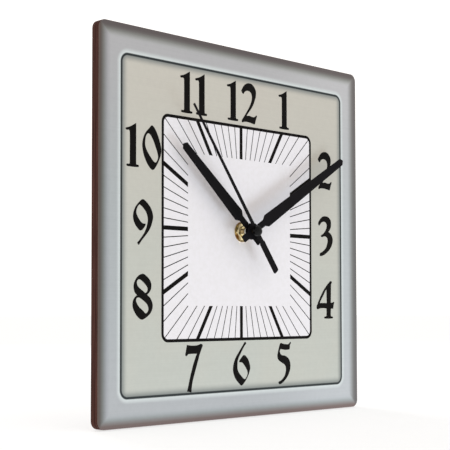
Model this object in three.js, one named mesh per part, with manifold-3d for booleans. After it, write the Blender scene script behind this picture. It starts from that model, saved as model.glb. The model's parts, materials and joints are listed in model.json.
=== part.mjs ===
// A square quartz wall clock: a printed hardboard panel, a battery movement clamped behind it
// through one central hole, and three black hands. Millimetres, +Z up, the dial facing -Y.
// The origin is on the wall plane, on the axis of the hands.
//
// Everything is built in a "dial frame" first, x right, y up and z forward from the wall to the
// viewer, and the last group turns that frame upright.

import * as THREE from 'three';
import { mergeVertices } from 'three/addons/utils/BufferGeometryUtils.js';
import Module from 'manifold-3d';

const wasm = await Module();
wasm.setup();

// ---------- driving dimensions ----------

const PANEL = { size: 260, corner: 5.5, thickness: 6.5, print: 0.25, hole: 4.3 };
const CASE = { size: 56, corner: 3, depth: 16, wall: 1.5, side: 1.4 };
const BATTERY = {
  radius: 7.1, body: 49.1, nub: 1.2, nubRadius: 2.7, rim: 0.6, foil: 0.3, foilInset: 1.2, y: -19.2, z: 7.6,
};
const BAY = { low: -26.8, high: -11.5, floor: 15 };
const PARTITION_TOP = -10.5;
const HANGER = { thickness: 0.75, width: 18, low: -9, fold: 28.9, top: 47, corner: 3 };
const KEYHOLE = { entry: 4, entryY: 37, slot: 1.8, slotY: 42.5 };
const GASKET = { inner: 4.3, outer: 10, thickness: 0.75 };
const BUSH = { radius: 4, bore: 2.6, flange: 6, flangeThickness: 1, end: 29.25 };
const WASHER = { inner: 4.15, outer: 7.1, thickness: 0.5 };
const NUT = { flats: 11.5, height: 3, bore: 4.05, turn: 4 };
const COVER = { thickness: 1.25, clearance: 0.1 };
const TRAIN_PLATE = { z: 8, thickness: 1, halfWidth: 22, low: -10, high: 13, corner: 2 };

const CASE_FRONT = CASE.depth;
const CASE_FLOOR = CASE.depth - CASE.wall;
const GASKET_BACK = CASE_FRONT + HANGER.thickness;
const PANEL_BACK = GASKET_BACK + GASKET.thickness;
const PRINT_BACK = PANEL_BACK + PANEL.thickness;
const FACE = PRINT_BACK + PANEL.print;
const NUT_BACK = FACE + WASHER.thickness;
const CASE_INNER = CASE.size / 2 - CASE.side;

// play left between pieces, the lap of solids that are joined into one, and the reach of a
// cutting tool past the face it opens
const PLAY = { pressed: 0.03, clutch: 0.04, turning: 0.06, spigot: 0.08, sliding: 0.1 };
const LAP = { thin: 0.1, deep: 0.5 };
const THROUGH = 1;
const BEYOND = 99;

// how finely curves are divided
const SIDES = { pivot: 12, small: 16, usual: 24, large: 32 };
const SEGMENTS = { corner: 8, smallCorner: 4, chip: 4, dome: 6 };
const WELD = 1e-5;

// hands: distances along the blade from the axis, and half widths across it
const HAND = { sheet: 0.5, hub: 5.75, tailCorner: 0.8, halfPoint: 0.05 };
const HOUR_HAND = {
  z: 33.5, turn: -310.4, tip: 85.8, shoulder: 83.8, root: 16.6, neck: 13.4, tail: 11.8,
  halfRoot: 4.75, halfTip: 2.95, halfNeck: 2.4, halfTail: 3.0, collar: 3.4, collarDepth: 2,
};
const MINUTE_HAND = {
  z: 35.75, turn: -59.5, tip: 115.2, shoulder: 113, root: 16, neck: 12.6, tail: 12.2,
  halfRoot: 4.6, halfTip: 2.7, halfNeck: 2.4, halfTail: 2.6, collar: 2.8, collarDepth: 0.75,
};
const SECOND_HAND = {
  z: 38.5, turn: -323.7, tip: 102, tail: 35, tailStart: 9, flare: 1, hub: 3.6,
  halfRoot: 1.45, halfTip: 0.85, halfNeck: 1.9, halfTail: 2.6,
};

// arbors and pipes, radius by radius from the middle outwards
const ARBOR = 0.5;
const PIVOT = 0.3;
const PIVOT_HOLE = 0.36;
const PIVOT_REAR = 0.6;
const ARBOR_GAP = 0.25;
const PIVOT_FRONT = TRAIN_PLATE.z + TRAIN_PLATE.thickness - PLAY.sliding;
const ARBOR_FRONT = TRAIN_PLATE.z - ARBOR_GAP;
const SECOND_ARBOR = { rear: 1.75, end: 40.5 };
const CENTRE_HUB = 2.6;
const MINUTE_PIPE = {
  bore: 0.85, radius: 1.65, rear: 6, end: 36.75, flat: 1.35, flatStart: 34.75, lip: 2.1, lipDepth: 0.25,
};
const HOUR_PIPE = { bore: 1.75, radius: 2.5, end: 34.25, hub: 4, hubEnd: 13.25 };

// gear layers, from the rear cover to the dial
const LAYER = {
  rotor: [2, 2.8],
  second: [3.3, 4.1],
  third: [4.7, 5.5],
  centre: [6.25, 7],
  minute: [9.75, 10.75],
  hour: [11.5, 12.5],
};
const LEAF_SPARE = 0.15;

// gear pairs: teeth of wheel and pinion, module, and the pinion's profile shift
const PRESSURE_ANGLE = THREE.MathUtils.degToRad(20);
const PAIR = {
  rotor: { wheel: 50, pinion: 10, module: 0.25, shift: 0.41 },
  second: { wheel: 60, pinion: 10, module: 0.27, shift: 0.41 },
  third: { wheel: 60, pinion: 8, module: 0.27, shift: 0.53 },
  centre: { wheel: 64, pinion: 8, module: 0.255, shift: 0.53 },
  minute: { wheel: 36, pinion: 12, module: 0.36, shift: 0.29 },
  hour: { wheel: 40, pinion: 10, module: 0.3456, shift: 0.41 },
};

// where each arbor stands, as a direction in degrees and a distance from the arbor it meshes with
const centreDistance = (pair) => (pair.wheel + pair.pinion) / 2 * pair.module;
const DIRECTION = { third: 150, intermediate: 30, rotor: 80, minuteWheel: 195, setting: 190 };
const CENTRE = new THREE.Vector2(0, 0);
const THIRD_AT = from(CENTRE, DIRECTION.third, centreDistance(PAIR.third));
const INTERMEDIATE_AT = from(CENTRE, DIRECTION.intermediate, centreDistance(PAIR.second));
const ROTOR_AT = from(INTERMEDIATE_AT, DIRECTION.rotor, centreDistance(PAIR.rotor));
const MINUTE_WHEEL_AT = from(CENTRE, DIRECTION.minuteWheel, centreDistance(PAIR.minute));
const SETTING_AT = from(MINUTE_WHEEL_AT, DIRECTION.setting, centreDistance(PAIR.minute));

// motor and circuit
const MAGNET = { radius: 2.4, low: 4.9, high: 7.4 };
const STATOR = {
  low: 5.75, high: 6.5, left: -4, right: 25.5, bottom: 8.9, barTop: 15.6, top: 23, leg: 4.8, hole: 2.9,
};
const CORE = { y: 20.1, width: 3, low: 6.5, high: 7.5 };
const COIL = {
  left: 1.2, right: 20.3, flange: 0.8, flangeSize: 7, tubeWidth: 4.2, tubeHeight: 2.2, radius: 3.3,
};
const BOARD = { left: -23.4, right: -5.5, low: 14, high: 26.2, back: 9.25, front: 10.25, corner: 1 };
const KNOB = {
  radius: 4.6, ribs: 16, ribDepth: 0.45, low: 0.25, high: 2, well: 5.3, wellWall: 0.9, wellFloor: [2.25, 3],
};
const SETTING_SHAFT = { radius: 1.2, hole: 1.3, spigot: 1.05, end: 12.25, socket: 2.2, socketRear: 11.6 };
const CHIP = { x: -12, y: 20.5, radius: 3, height: 1 };
const CRYSTAL = { x: -20.5, y: 20.5, radius: 1, length: 6 };
const CAP = { radius: 3.7, stem: 1.5, stemLow: 37.25, skirt: 1.6, top: 42, bore: 0.53 };

// ---------- materials ----------

const finish = (color, roughness, metalness = 0) =>
  new THREE.MeshStandardMaterial({ color, roughness, metalness });

const MATERIAL = {
  hardboard: finish('#4a302a', 0.8),
  print: finish('#b4b6b2', 0.45),
  blackPlastic: finish('#1b1b1d', 0.55),
  whitePlastic: finish('#e6e4dc', 0.5),
  brass: finish('#c39a4c', 0.3, 1),
  steel: finish('#b9bcc0', 0.35, 1),
  blackPaint: finish('#1c1a1e', 0.4),
  rubber: finish('#202020', 0.9),
  copper: finish('#b0653a', 0.35, 1),
  circuitGreen: finish('#2f6b3c', 0.6),
  epoxy: finish('#101012', 0.35),
  magnet: finish('#5a5b60', 0.4, 1),
  batteryJacket: finish('#2d4f7c', 0.35),
};

// ---------- solids ----------

function from(point, degrees, distance) {
  const angle = THREE.MathUtils.degToRad(degrees);
  return new THREE.Vector2(point.x + distance * Math.cos(angle), point.y + distance * Math.sin(angle));
}

function solid(geometry) {
  const bare = geometry.clone();
  bare.deleteAttribute('normal');
  bare.deleteAttribute('uv');
  const merged = mergeVertices(bare, WELD);
  const mesh = new wasm.Mesh({
    numProp: 3,
    vertProperties: new Float32Array(merged.attributes.position.array),
    triVerts: new Uint32Array(merged.index.array),
  });
  return new wasm.Manifold(mesh);
}

function geometryOf(body) {
  const mesh = body.getMesh();
  const geometry = new THREE.BufferGeometry();
  geometry.setAttribute('position', new THREE.BufferAttribute(mesh.vertProperties, 3));
  geometry.setIndex(new THREE.BufferAttribute(mesh.triVerts, 1));
  geometry.computeVertexNormals();
  return geometry;
}

const join = (...bodies) => bodies.reduce((whole, body) => whole.add(body));
const cut = (body, ...tools) => tools.reduce((left, tool) => left.subtract(tool), body);

function extrude(shape, low, high, curveSegments = SEGMENTS.corner) {
  const depth = high - low;
  const geometry = new THREE.ExtrudeGeometry(shape, { depth, bevelEnabled: false, curveSegments });
  return solid(geometry.translate(0, 0, low));
}

function cylinder(radius, low, high, at = CENTRE, sides = SIDES.usual) {
  const geometry = new THREE.CylinderGeometry(radius, radius, high - low, sides);
  return solid(geometry.rotateX(Math.PI / 2).translate(at.x, at.y, (low + high) / 2));
}

const bore = (radius, low, high, at, sides) => cylinder(radius, low - THROUGH, high + THROUGH, at, sides);

function box(left, right, bottom, top, low, high) {
  const geometry = new THREE.BoxGeometry(right - left, top - bottom, high - low);
  return solid(geometry.translate((left + right) / 2, (bottom + top) / 2, (low + high) / 2));
}

const ring = (outer, inner, low, high, at, sides) =>
  cut(cylinder(outer, low, high, at, sides), bore(inner, low, high, at, sides));

function outline(points) {
  return new THREE.Shape(points.map(([x, y]) => new THREE.Vector2(x, y)));
}

function roundedRectangle(left, right, bottom, top, radius) {
  const shape = new THREE.Shape();
  shape.absarc(right - radius, top - radius, radius, 0, Math.PI / 2);
  shape.absarc(left + radius, top - radius, radius, Math.PI / 2, Math.PI);
  shape.absarc(left + radius, bottom + radius, radius, Math.PI, Math.PI * 1.5);
  shape.absarc(right - radius, bottom + radius, radius, Math.PI * 1.5, Math.PI * 2);
  shape.closePath();
  return shape;
}

// ---------- gears ----------

const TOOTH = { addendum: 0.9, dedendum: 1.25, thinning: 0.16, leastHalfAngle: 0.02 };

// Tooth outline of an involute spur gear, thinned for running clearance. phase is where the
// middle of one tooth stands, and steps is the number of points on each flank.
function gearShape(teeth, module, shift, phase, steps) {
  const pitch = teeth * module / 2;
  const base = pitch * Math.cos(PRESSURE_ANGLE);
  const tip = pitch + module * (TOOTH.addendum + shift);
  const root = pitch - module * (TOOTH.dedendum - shift);
  const involute = (angle) => Math.tan(angle) - angle;
  const halfAtPitch = (Math.PI / 2 + 2 * shift * Math.tan(PRESSURE_ANGLE) - TOOTH.thinning) / teeth;
  const halfAt = (radius) =>
    halfAtPitch + involute(PRESSURE_ANGLE) - involute(Math.acos(Math.min(1, base / radius)));
  const radii = Array.from({ length: steps }, (_, i) => root + (tip - root) * i / (steps - 1));
  const points = [];
  for (let tooth = 0; tooth < teeth; tooth += 1) {
    const middle = phase + 2 * Math.PI * tooth / teeth;
    const flank = (radius, side) => {
      const angle = middle + side * Math.max(halfAt(radius), TOOTH.leastHalfAngle);
      points.push([radius * Math.cos(angle), radius * Math.sin(angle)]);
    };
    radii.forEach((radius) => flank(radius, -1));
    [...radii].reverse().forEach((radius) => flank(radius, 1));
  }
  return outline(points);
}

const PINION_STEPS = 3;
const WHEEL_STEPS = 2;
const pinion = (pair, phase, low, high) =>
  extrude(gearShape(pair.pinion, pair.module, pair.shift, phase, PINION_STEPS), low, high);
const wheel = (pair, phase, low, high) =>
  extrude(gearShape(pair.wheel, pair.module, -pair.shift, phase, WHEEL_STEPS), low, high);

// Phase of a gear that meshes with one whose phase is known, standing in the given direction.
function meshPhase(phase, teeth, matingTeeth, degrees) {
  const direction = THREE.MathUtils.degToRad(degrees);
  const offset = (direction - phase) * teeth / (2 * Math.PI);
  return direction + Math.PI - 2 * Math.PI * (0.5 - offset) / matingTeeth;
}

// Wheels on a common arbor may be moulded at any phase, so each mesh starts from a wheel at 0.
const PHASE = {
  rotorPinion: meshPhase(0, PAIR.rotor.wheel, PAIR.rotor.pinion, DIRECTION.rotor),
  intermediatePinion: meshPhase(0, PAIR.second.wheel, PAIR.second.pinion, DIRECTION.intermediate),
  thirdWheel: meshPhase(0, PAIR.third.pinion, PAIR.third.wheel, DIRECTION.third),
  thirdPinion: meshPhase(0, PAIR.centre.wheel, PAIR.centre.pinion, DIRECTION.third),
  minuteWheel: meshPhase(0, PAIR.minute.pinion, PAIR.minute.wheel, DIRECTION.minuteWheel),
  minuteWheelPinion: meshPhase(0, PAIR.hour.wheel, PAIR.hour.pinion, DIRECTION.minuteWheel),
};
const { wheel: minuteTeeth, pinion: settingTeeth } = PAIR.minute;
PHASE.settingPinion = meshPhase(PHASE.minuteWheel, minuteTeeth, settingTeeth, DIRECTION.setting);

const moved = (body, at) => body.translate([at.x, at.y, 0]);

function arbor(rear) {
  return join(
    cylinder(ARBOR, rear, ARBOR_FRONT, CENTRE, SIDES.pivot),
    cylinder(PIVOT, PIVOT_REAR, rear + LAP.thin, CENTRE, SIDES.pivot),
    cylinder(PIVOT, ARBOR_FRONT - LAP.thin, PIVOT_FRONT, CENTRE, SIDES.pivot),
  );
}

// ---------- panel and fixing stack ----------

function panelSheet(low, high) {
  const half = PANEL.size / 2;
  const sheet = extrude(roundedRectangle(-half, half, -half, half, PANEL.corner), low, high);
  return cut(sheet, bore(PANEL.hole, low, high));
}

function hexNut() {
  const corner = NUT.flats / Math.sqrt(3);
  const turn = THREE.MathUtils.degToRad(NUT.turn);
  const corners = Array.from({ length: 6 }, (_, i) => {
    const angle = turn + i * Math.PI / 3;
    return [corner * Math.cos(angle), corner * Math.sin(angle)];
  });
  const nutFront = NUT_BACK + NUT.height;
  return cut(extrude(outline(corners), NUT_BACK, nutFront), bore(NUT.bore, NUT_BACK, nutFront));
}

function threadedBush() {
  const flangeRear = CASE_FLOOR - BUSH.flangeThickness;
  const tube = cylinder(BUSH.radius, CASE_FLOOR, BUSH.end, CENTRE, SIDES.large);
  const flange = cylinder(BUSH.flange, flangeRear, CASE_FLOOR, CENTRE, SIDES.large);
  return cut(join(tube, flange), bore(BUSH.bore, flangeRear, BUSH.end));
}

// A strip clamped in front of the case, folded back over its top edge and up the wall.
function hangerPlate() {
  const { thickness, width, low, fold, top, corner } = HANGER;
  const half = width / 2;
  const foldInner = fold - thickness;
  const legFront = CASE_FRONT + thickness;
  const frontLeg = join(
    box(-half, half, 0, fold, CASE_FRONT, legFront),
    cylinder(-low, CASE_FRONT, legFront, CENTRE, SIDES.large),
  );
  const web = box(-half, half, foldInner, fold, 0, legFront);
  const rearLeg = extrude(roundedRectangle(-half, half, foldInner, top, corner), 0, thickness);
  const foot = box(-half, half, foldInner, fold + corner, 0, thickness);
  const { entry, entryY, slot, slotY } = KEYHOLE;
  return cut(
    join(frontLeg, web, rearLeg, foot),
    bore(PANEL.hole, CASE_FRONT, legFront),
    bore(entry, 0, thickness, new THREE.Vector2(0, entryY)),
    box(-slot, slot, entryY, slotY, -THROUGH, thickness + THROUGH),
    bore(slot, 0, thickness, new THREE.Vector2(0, slotY), SIDES.small),
  );
}

// ---------- movement case ----------

const POST = { corner: 3, partition: 2, plate: 1.5, board: 1.2 };
const PLATE_POSTS = [[-20, -8.2], [20, -8.2], [-20, 11], [20, 11]];
const BOARD_POSTS = [[-21.5, 24], [-8, 16.5]];

function caseShell() {
  const half = CASE.size / 2;
  return cut(
    extrude(roundedRectangle(-half, half, -half, half, CASE.corner), 0, CASE_FRONT),
    box(-CASE_INNER, CASE_INNER, PARTITION_TOP, CASE_INNER, -THROUGH, CASE_FLOOR),
    box(-CASE_INNER, CASE_INNER, BAY.low, BAY.high, -THROUGH, BAY.floor),
    bore(BUSH.radius + PLAY.sliding, CASE_FLOOR, CASE_FRONT, CENTRE, SIDES.large),
  );
}

// Square posts carry the rear cover, round ones the train plate, the circuit board, the minute
// wheel and the front end of the setting pinion.
function frontCase() {
  const postFront = CASE_FLOOR + LAP.deep;
  const plateFront = TRAIN_PLATE.z + TRAIN_PLATE.thickness;
  const inner = CASE_INNER - POST.corner;
  const outer = CASE_INNER + LAP.deep;
  const rows = [[inner, outer], [PARTITION_TOP - LAP.deep, PARTITION_TOP + POST.partition]];
  const square = (left, right, bottom, top) => box(left, right, bottom, top, COVER.thickness, postFront);
  const round = (radius, rear, [x, y]) =>
    cylinder(radius, rear, postFront, new THREE.Vector2(x, y), SIDES.small);
  const { spigot, socket, socketRear } = SETTING_SHAFT;
  return join(
    caseShell(),
    ...rows.map((row) => square(-outer, -inner, ...row)),
    ...rows.map((row) => square(inner, outer, ...row)),
    ...PLATE_POSTS.map((at) => round(POST.plate, plateFront, at)),
    ...BOARD_POSTS.map((at) => round(POST.board, BOARD.front, at)),
    cylinder(ARBOR, plateFront + PLAY.sliding, postFront, MINUTE_WHEEL_AT, SIDES.pivot),
    ring(socket, spigot + PLAY.spigot, socketRear, postFront, SETTING_AT, SIDES.small),
  );
}

function rearCover() {
  const edge = CASE_INNER - COVER.clearance;
  const [wellFront, coverFront] = KNOB.wellFloor;
  const plate = box(-edge, edge, PARTITION_TOP + COVER.clearance, edge, 0, COVER.thickness);
  const well = cylinder(KNOB.well + KNOB.wellWall, 0, coverFront, SETTING_AT, SIDES.large);
  return cut(
    join(plate, well),
    cylinder(KNOB.well, -THROUGH, wellFront, SETTING_AT, SIDES.large),
    bore(SETTING_SHAFT.hole, 0, coverFront, SETTING_AT),
    ...[CENTRE, THIRD_AT, INTERMEDIATE_AT, ROTOR_AT].map((at) =>
      cylinder(PIVOT_HOLE, PIVOT_REAR - PLAY.sliding, COVER.thickness + THROUGH, at, SIDES.pivot)),
  );
}

function trainPlate() {
  const { z, thickness, halfWidth, low, high, corner } = TRAIN_PLATE;
  const sheet = roundedRectangle(-halfWidth, halfWidth, low, high, corner);
  const hole = (radius, at, sides) => bore(radius, z, z + thickness, at, sides);
  return cut(
    extrude(sheet, z, z + thickness, SEGMENTS.smallCorner),
    hole(MINUTE_PIPE.radius + PLAY.sliding, CENTRE),
    hole(SETTING_SHAFT.hole, SETTING_AT),
    ...[THIRD_AT, INTERMEDIATE_AT, ROTOR_AT].map((at) => hole(PIVOT_HOLE, at, SIDES.pivot)),
  );
}

// ---------- battery ----------

function batteryCell() {
  const { radius, body, nub, nubRadius, rim, foil, foilInset, y, z } = BATTERY;
  const half = body / 2;
  const profile = [
    [0, -half], [radius - foilInset, -half], [radius - foilInset, foil - half], [radius - rim, foil - half],
    [radius, rim - half], [radius, half - rim], [radius - rim, half],
    [nubRadius, half], [nubRadius, half + nub], [0, half + nub],
  ];
  const geometry = new THREE.LatheGeometry(profile.map(([r, h]) => new THREE.Vector2(r, h)), SIDES.large);
  return solid(geometry.rotateZ(-Math.PI / 2).translate(0, y, z));
}

const CONTACT = { sheet: 0.4, width: 9, gap: 0.1, rear: 1, front: 14.75 };
const SPRING = { front: 14.2, bend: 12.6, bulge: 8.4, foot: [0.4, 3.2], footEnd: [0.8, 2.9] };

function contactPlus() {
  const right = CASE_INNER - CONTACT.gap;
  const low = BATTERY.y - CONTACT.width / 2;
  return box(right - CONTACT.sheet, right, low, low + CONTACT.width, CONTACT.rear, CONTACT.front);
}

// A springy strip folded once, the bulge of its free leg leaning on the battery's flat end.
function contactMinus() {
  const back = -CASE_INNER + CONTACT.gap;
  const front = back + CONTACT.sheet;
  const tip = -BATTERY.body / 2 - CONTACT.gap;
  const strip = outline([
    [back, CONTACT.rear], [front, CONTACT.rear], [front, SPRING.bend],
    [tip - CONTACT.sheet, SPRING.bulge], [front + SPRING.foot[0], SPRING.foot[1]],
    [front + SPRING.footEnd[0], SPRING.footEnd[1]], [tip, SPRING.bulge],
    [front, SPRING.front], [back, SPRING.front],
  ]);
  const geometry = new THREE.ExtrudeGeometry(strip, { depth: CONTACT.width, bevelEnabled: false });
  return solid(geometry.rotateX(Math.PI / 2).translate(0, BATTERY.y + CONTACT.width / 2, 0));
}

// ---------- motor and circuit ----------

function stator() {
  const { low, high, left, right, bottom, barTop, top, leg, hole } = STATOR;
  const plate = outline([
    [left, bottom], [right, bottom], [right, top], [right - leg, top],
    [right - leg, barTop], [left + leg, barTop], [left + leg, top], [left, top],
  ]);
  return cut(extrude(plate, low, high), bore(hole, low, high, ROTOR_AT));
}

const CORE_MIDDLE = (CORE.low + CORE.high) / 2;

function coreBox(left, right, width, height) {
  const [bottom, top] = [CORE.y - width / 2, CORE.y + width / 2];
  return box(left, right, bottom, top, CORE_MIDDLE - height / 2, CORE_MIDDLE + height / 2);
}

const coilCore = () => coreBox(STATOR.left, STATOR.right, CORE.width, CORE.high - CORE.low);

function coilBobbin() {
  const { left, right, flange, flangeSize, tubeWidth, tubeHeight } = COIL;
  const tube = coreBox(left, right, tubeWidth, tubeHeight);
  const ends = [left, right - flange].map((x) => coreBox(x, x + flange, flangeSize, flangeSize));
  const coreRoom = [CORE.width + PLAY.sliding, CORE.high - CORE.low + PLAY.sliding];
  return cut(join(tube, ...ends), coreBox(left - THROUGH, right + THROUGH, ...coreRoom));
}

function coilWinding() {
  const { left, right, flange, tubeWidth, tubeHeight, radius } = COIL;
  const length = right - left - 2 * flange - PLAY.sliding;
  const geometry = new THREE.CylinderGeometry(radius, radius, length, SIDES.usual);
  geometry.rotateZ(Math.PI / 2).translate((left + right) / 2, CORE.y, CORE_MIDDLE);
  const tubeRoom = [tubeWidth + PLAY.sliding, tubeHeight + PLAY.sliding];
  return cut(solid(geometry), coreBox(left, right, ...tubeRoom));
}

function circuitBoard() {
  const { left, right, low, high, back, front, corner } = BOARD;
  return extrude(roundedRectangle(left, right, low, high, corner), back, front, SEGMENTS.smallCorner);
}

// A quarter of an ellipse from its foot to just short of its top, as points of a lathe profile.
function quarter(radius, foot, rise, steps) {
  return Array.from({ length: steps }, (_, i) => {
    const angle = i * Math.PI / (2 * steps);
    return new THREE.Vector2(radius * Math.cos(angle), foot + rise * Math.sin(angle));
  });
}

function chip() {
  const blob = quarter(CHIP.radius, 0, CHIP.height, SEGMENTS.chip);
  const profile = [new THREE.Vector2(0, 0), ...blob, new THREE.Vector2(0, CHIP.height)];
  const geometry = new THREE.LatheGeometry(profile, SIDES.usual);
  return solid(geometry.rotateX(-Math.PI / 2).translate(CHIP.x, CHIP.y, BOARD.back));
}

function quartzCrystal() {
  const geometry = new THREE.CylinderGeometry(CRYSTAL.radius, CRYSTAL.radius, CRYSTAL.length, SIDES.small);
  return solid(geometry.translate(CRYSTAL.x, CRYSTAL.y, BOARD.back - CRYSTAL.radius));
}

// ---------- going train ----------

function rotor() {
  const [rear, front] = [LAYER.rotor[0] - ARBOR_GAP, LAYER.rotor[1] + ARBOR_GAP];
  return moved(join(pinion(PAIR.rotor, PHASE.rotorPinion, rear, front), arbor(rear)), ROTOR_AT);
}

const rotorMagnet = () => ring(MAGNET.radius, ARBOR + PLAY.pressed, MAGNET.low, MAGNET.high, ROTOR_AT);

function intermediateWheel() {
  const large = wheel(PAIR.rotor, 0, ...LAYER.rotor);
  const reach = [LAYER.rotor[1] - LAP.thin, LAYER.second[1] + LEAF_SPARE];
  const leaves = pinion(PAIR.second, PHASE.intermediatePinion, ...reach);
  return moved(join(large, leaves, arbor(LAYER.rotor[0] - ARBOR_GAP)), INTERMEDIATE_AT);
}

function secondWheel() {
  const large = wheel(PAIR.second, 0, ...LAYER.second);
  const leaves = pinion(PAIR.third, 0, LAYER.second[1] - LAP.thin, LAYER.third[1] + LEAF_SPARE);
  return cut(join(large, leaves), cylinder(ARBOR + PLAY.pressed, 0, CASE.depth, CENTRE, SIDES.small));
}

const secondArbor = () => join(
  cylinder(ARBOR, SECOND_ARBOR.rear, SECOND_ARBOR.end, CENTRE, SIDES.small),
  cylinder(PIVOT, PIVOT_REAR, SECOND_ARBOR.rear + LAP.thin, CENTRE, SIDES.pivot),
);

function thirdWheel() {
  const large = wheel(PAIR.third, PHASE.thirdWheel, ...LAYER.third);
  const reach = [LAYER.third[1] - LAP.thin, LAYER.centre[1] + LEAF_SPARE];
  const leaves = pinion(PAIR.centre, PHASE.thirdPinion, ...reach);
  return moved(join(large, leaves, arbor(LAYER.third[0] - ARBOR_GAP)), THIRD_AT);
}

function centreWheel() {
  const large = wheel(PAIR.centre, 0, ...LAYER.centre);
  const hub = cylinder(CENTRE_HUB, LAYER.centre[1] - LAP.thin, ARBOR_FRONT);
  return cut(join(large, hub), cylinder(MINUTE_PIPE.radius + PLAY.clutch, 0, CASE.depth));
}

// ---------- motion work ----------

const MINUTE_LEAVES = [LAYER.minute[0] - LEAF_SPARE, LAYER.minute[1] + LEAF_SPARE];

function minutePipe() {
  const { radius, rear, end, flat, flatStart, lip, lipDepth } = MINUTE_PIPE;
  const across = radius + THROUGH;
  const flats = box(-across, across, -flat, flat, 0, end + THROUGH).rotate([0, 0, MINUTE_HAND.turn]);
  return cut(
    join(
      cylinder(radius, rear, flatStart),
      cylinder(radius, flatStart - LAP.thin, end).intersect(flats),
      cylinder(lip, rear - lipDepth, rear),
      pinion(PAIR.minute, 0, ...MINUTE_LEAVES),
    ),
    bore(MINUTE_PIPE.bore, 0, end, CENTRE, SIDES.small),
  );
}

function minuteWheel() {
  const large = wheel(PAIR.minute, PHASE.minuteWheel, ...LAYER.minute);
  const reach = [LAYER.minute[1] - LAP.thin, LAYER.hour[1] + LEAF_SPARE];
  const leaves = pinion(PAIR.hour, PHASE.minuteWheelPinion, ...reach);
  const arborHole = cylinder(ARBOR + PLAY.turning, 0, CASE.depth, CENTRE, SIDES.pivot);
  return moved(cut(join(large, leaves), arborHole), MINUTE_WHEEL_AT);
}

function hourWheel() {
  const large = wheel(PAIR.hour, 0, ...LAYER.hour);
  const pipe = cylinder(HOUR_PIPE.radius, LAYER.hour[1] - LAP.thin, HOUR_PIPE.end);
  const hub = cylinder(HOUR_PIPE.hub, LAYER.hour[1] - LAP.thin, HOUR_PIPE.hubEnd);
  return cut(join(large, pipe, hub), bore(HOUR_PIPE.bore, 0, HOUR_PIPE.end));
}

function settingPinion() {
  const leaves = pinion(PAIR.minute, PHASE.settingPinion, ...MINUTE_LEAVES);
  const shaft = cylinder(SETTING_SHAFT.radius, KNOB.low, LAYER.minute[0]);
  const spigot = cylinder(SETTING_SHAFT.spigot, LAYER.minute[0], SETTING_SHAFT.end);
  return moved(join(leaves, shaft, spigot), SETTING_AT);
}

// A disc with square ribs and grooves round its rim.
function settingKnob() {
  const groove = KNOB.radius - KNOB.ribDepth;
  const rimRadii = [KNOB.radius, KNOB.radius, groove, groove];
  const count = rimRadii.length * KNOB.ribs;
  const points = Array.from({ length: count }, (_, i) => {
    const [radius, angle] = [rimRadii[i % rimRadii.length], 2 * Math.PI * i / count];
    return [radius * Math.cos(angle), radius * Math.sin(angle)];
  });
  const disc = extrude(outline(points), KNOB.low, KNOB.high);
  return moved(cut(disc, bore(SETTING_SHAFT.radius + PLAY.pressed, KNOB.low, KNOB.high)), SETTING_AT);
}

// ---------- hands ----------

// The right half of a square tail end with its corner cut off.
const tailEnd = (half, tail) => [[half - HAND.tailCorner, -tail], [half, -tail + HAND.tailCorner]];

function blade(right, hub, z) {
  const left = right.map(([x, y]) => [-x, y]).reverse();
  const sheet = extrude(outline([...right, ...left]), z, z + HAND.sheet);
  return join(sheet, cylinder(hub, z, z + HAND.sheet, CENTRE, SIDES.large));
}

// A flat baton: short tail, narrow neck, wide tapering blade and a blunt point, along +Y.
function batonHand({ z, tip, shoulder, root, neck, tail, halfRoot, halfTip, halfNeck, halfTail, ...hand }) {
  const right = [
    ...tailEnd(halfTail, tail), [halfTail, -HAND.hub], [halfNeck, HAND.hub],
    [halfNeck, neck], [halfRoot, root], [halfTip, shoulder], [HAND.halfPoint, tip],
  ];
  return join(blade(right, HAND.hub, z), cylinder(hand.collar, z - hand.collarDepth, z + LAP.thin));
}

const hourHand = () => cut(batonHand(HOUR_HAND), cylinder(HOUR_PIPE.radius + PLAY.pressed, 0, BEYOND));

function minuteHand() {
  const flat = MINUTE_PIPE.flat + PLAY.pressed;
  const round = cylinder(MINUTE_PIPE.radius + PLAY.pressed, 0, BEYOND);
  return cut(batonHand(MINUTE_HAND), round.intersect(box(-BEYOND, BEYOND, -flat, flat, 0, BEYOND)));
}

function secondHand() {
  const { z, tip, tail, tailStart, flare, hub, halfRoot, halfTip, halfNeck, halfTail } = SECOND_HAND;
  const right = [
    ...tailEnd(halfTail, tail), [halfTail, -tailStart - flare], [halfNeck, -tailStart],
    [halfNeck, 0], [halfRoot, hub], [halfTip, tip],
  ];
  return cut(blade(right, hub, z), cylinder(CAP.stem + PLAY.pressed, 0, BEYOND));
}

// A domed cap on a stem, with a blind bore for the second arbor.
function secondHandCap() {
  const low = SECOND_HAND.z + HAND.sheet;
  const edge = low + CAP.skirt;
  const profile = [
    new THREE.Vector2(0, CAP.stemLow), new THREE.Vector2(CAP.stem, CAP.stemLow),
    new THREE.Vector2(CAP.stem, low), new THREE.Vector2(CAP.radius, low),
    ...quarter(CAP.radius, edge, CAP.top - edge, SEGMENTS.dome), new THREE.Vector2(0, CAP.top),
  ];
  const body = solid(new THREE.LatheGeometry(profile, SIDES.large).rotateX(Math.PI / 2));
  return cut(body, cylinder(CAP.bore, 0, SECOND_ARBOR.end + PLAY.sliding, CENTRE, SIDES.small));
}

// ---------- assembly ----------

const clock = new THREE.Group();

function piece(name, body, material, parent = clock) {
  const mesh = new THREE.Mesh(geometryOf(body), material);
  mesh.name = name;
  parent.add(mesh);
}

function turned(degrees) {
  const group = new THREE.Group();
  group.rotation.z = THREE.MathUtils.degToRad(degrees);
  clock.add(group);
  return group;
}

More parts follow.
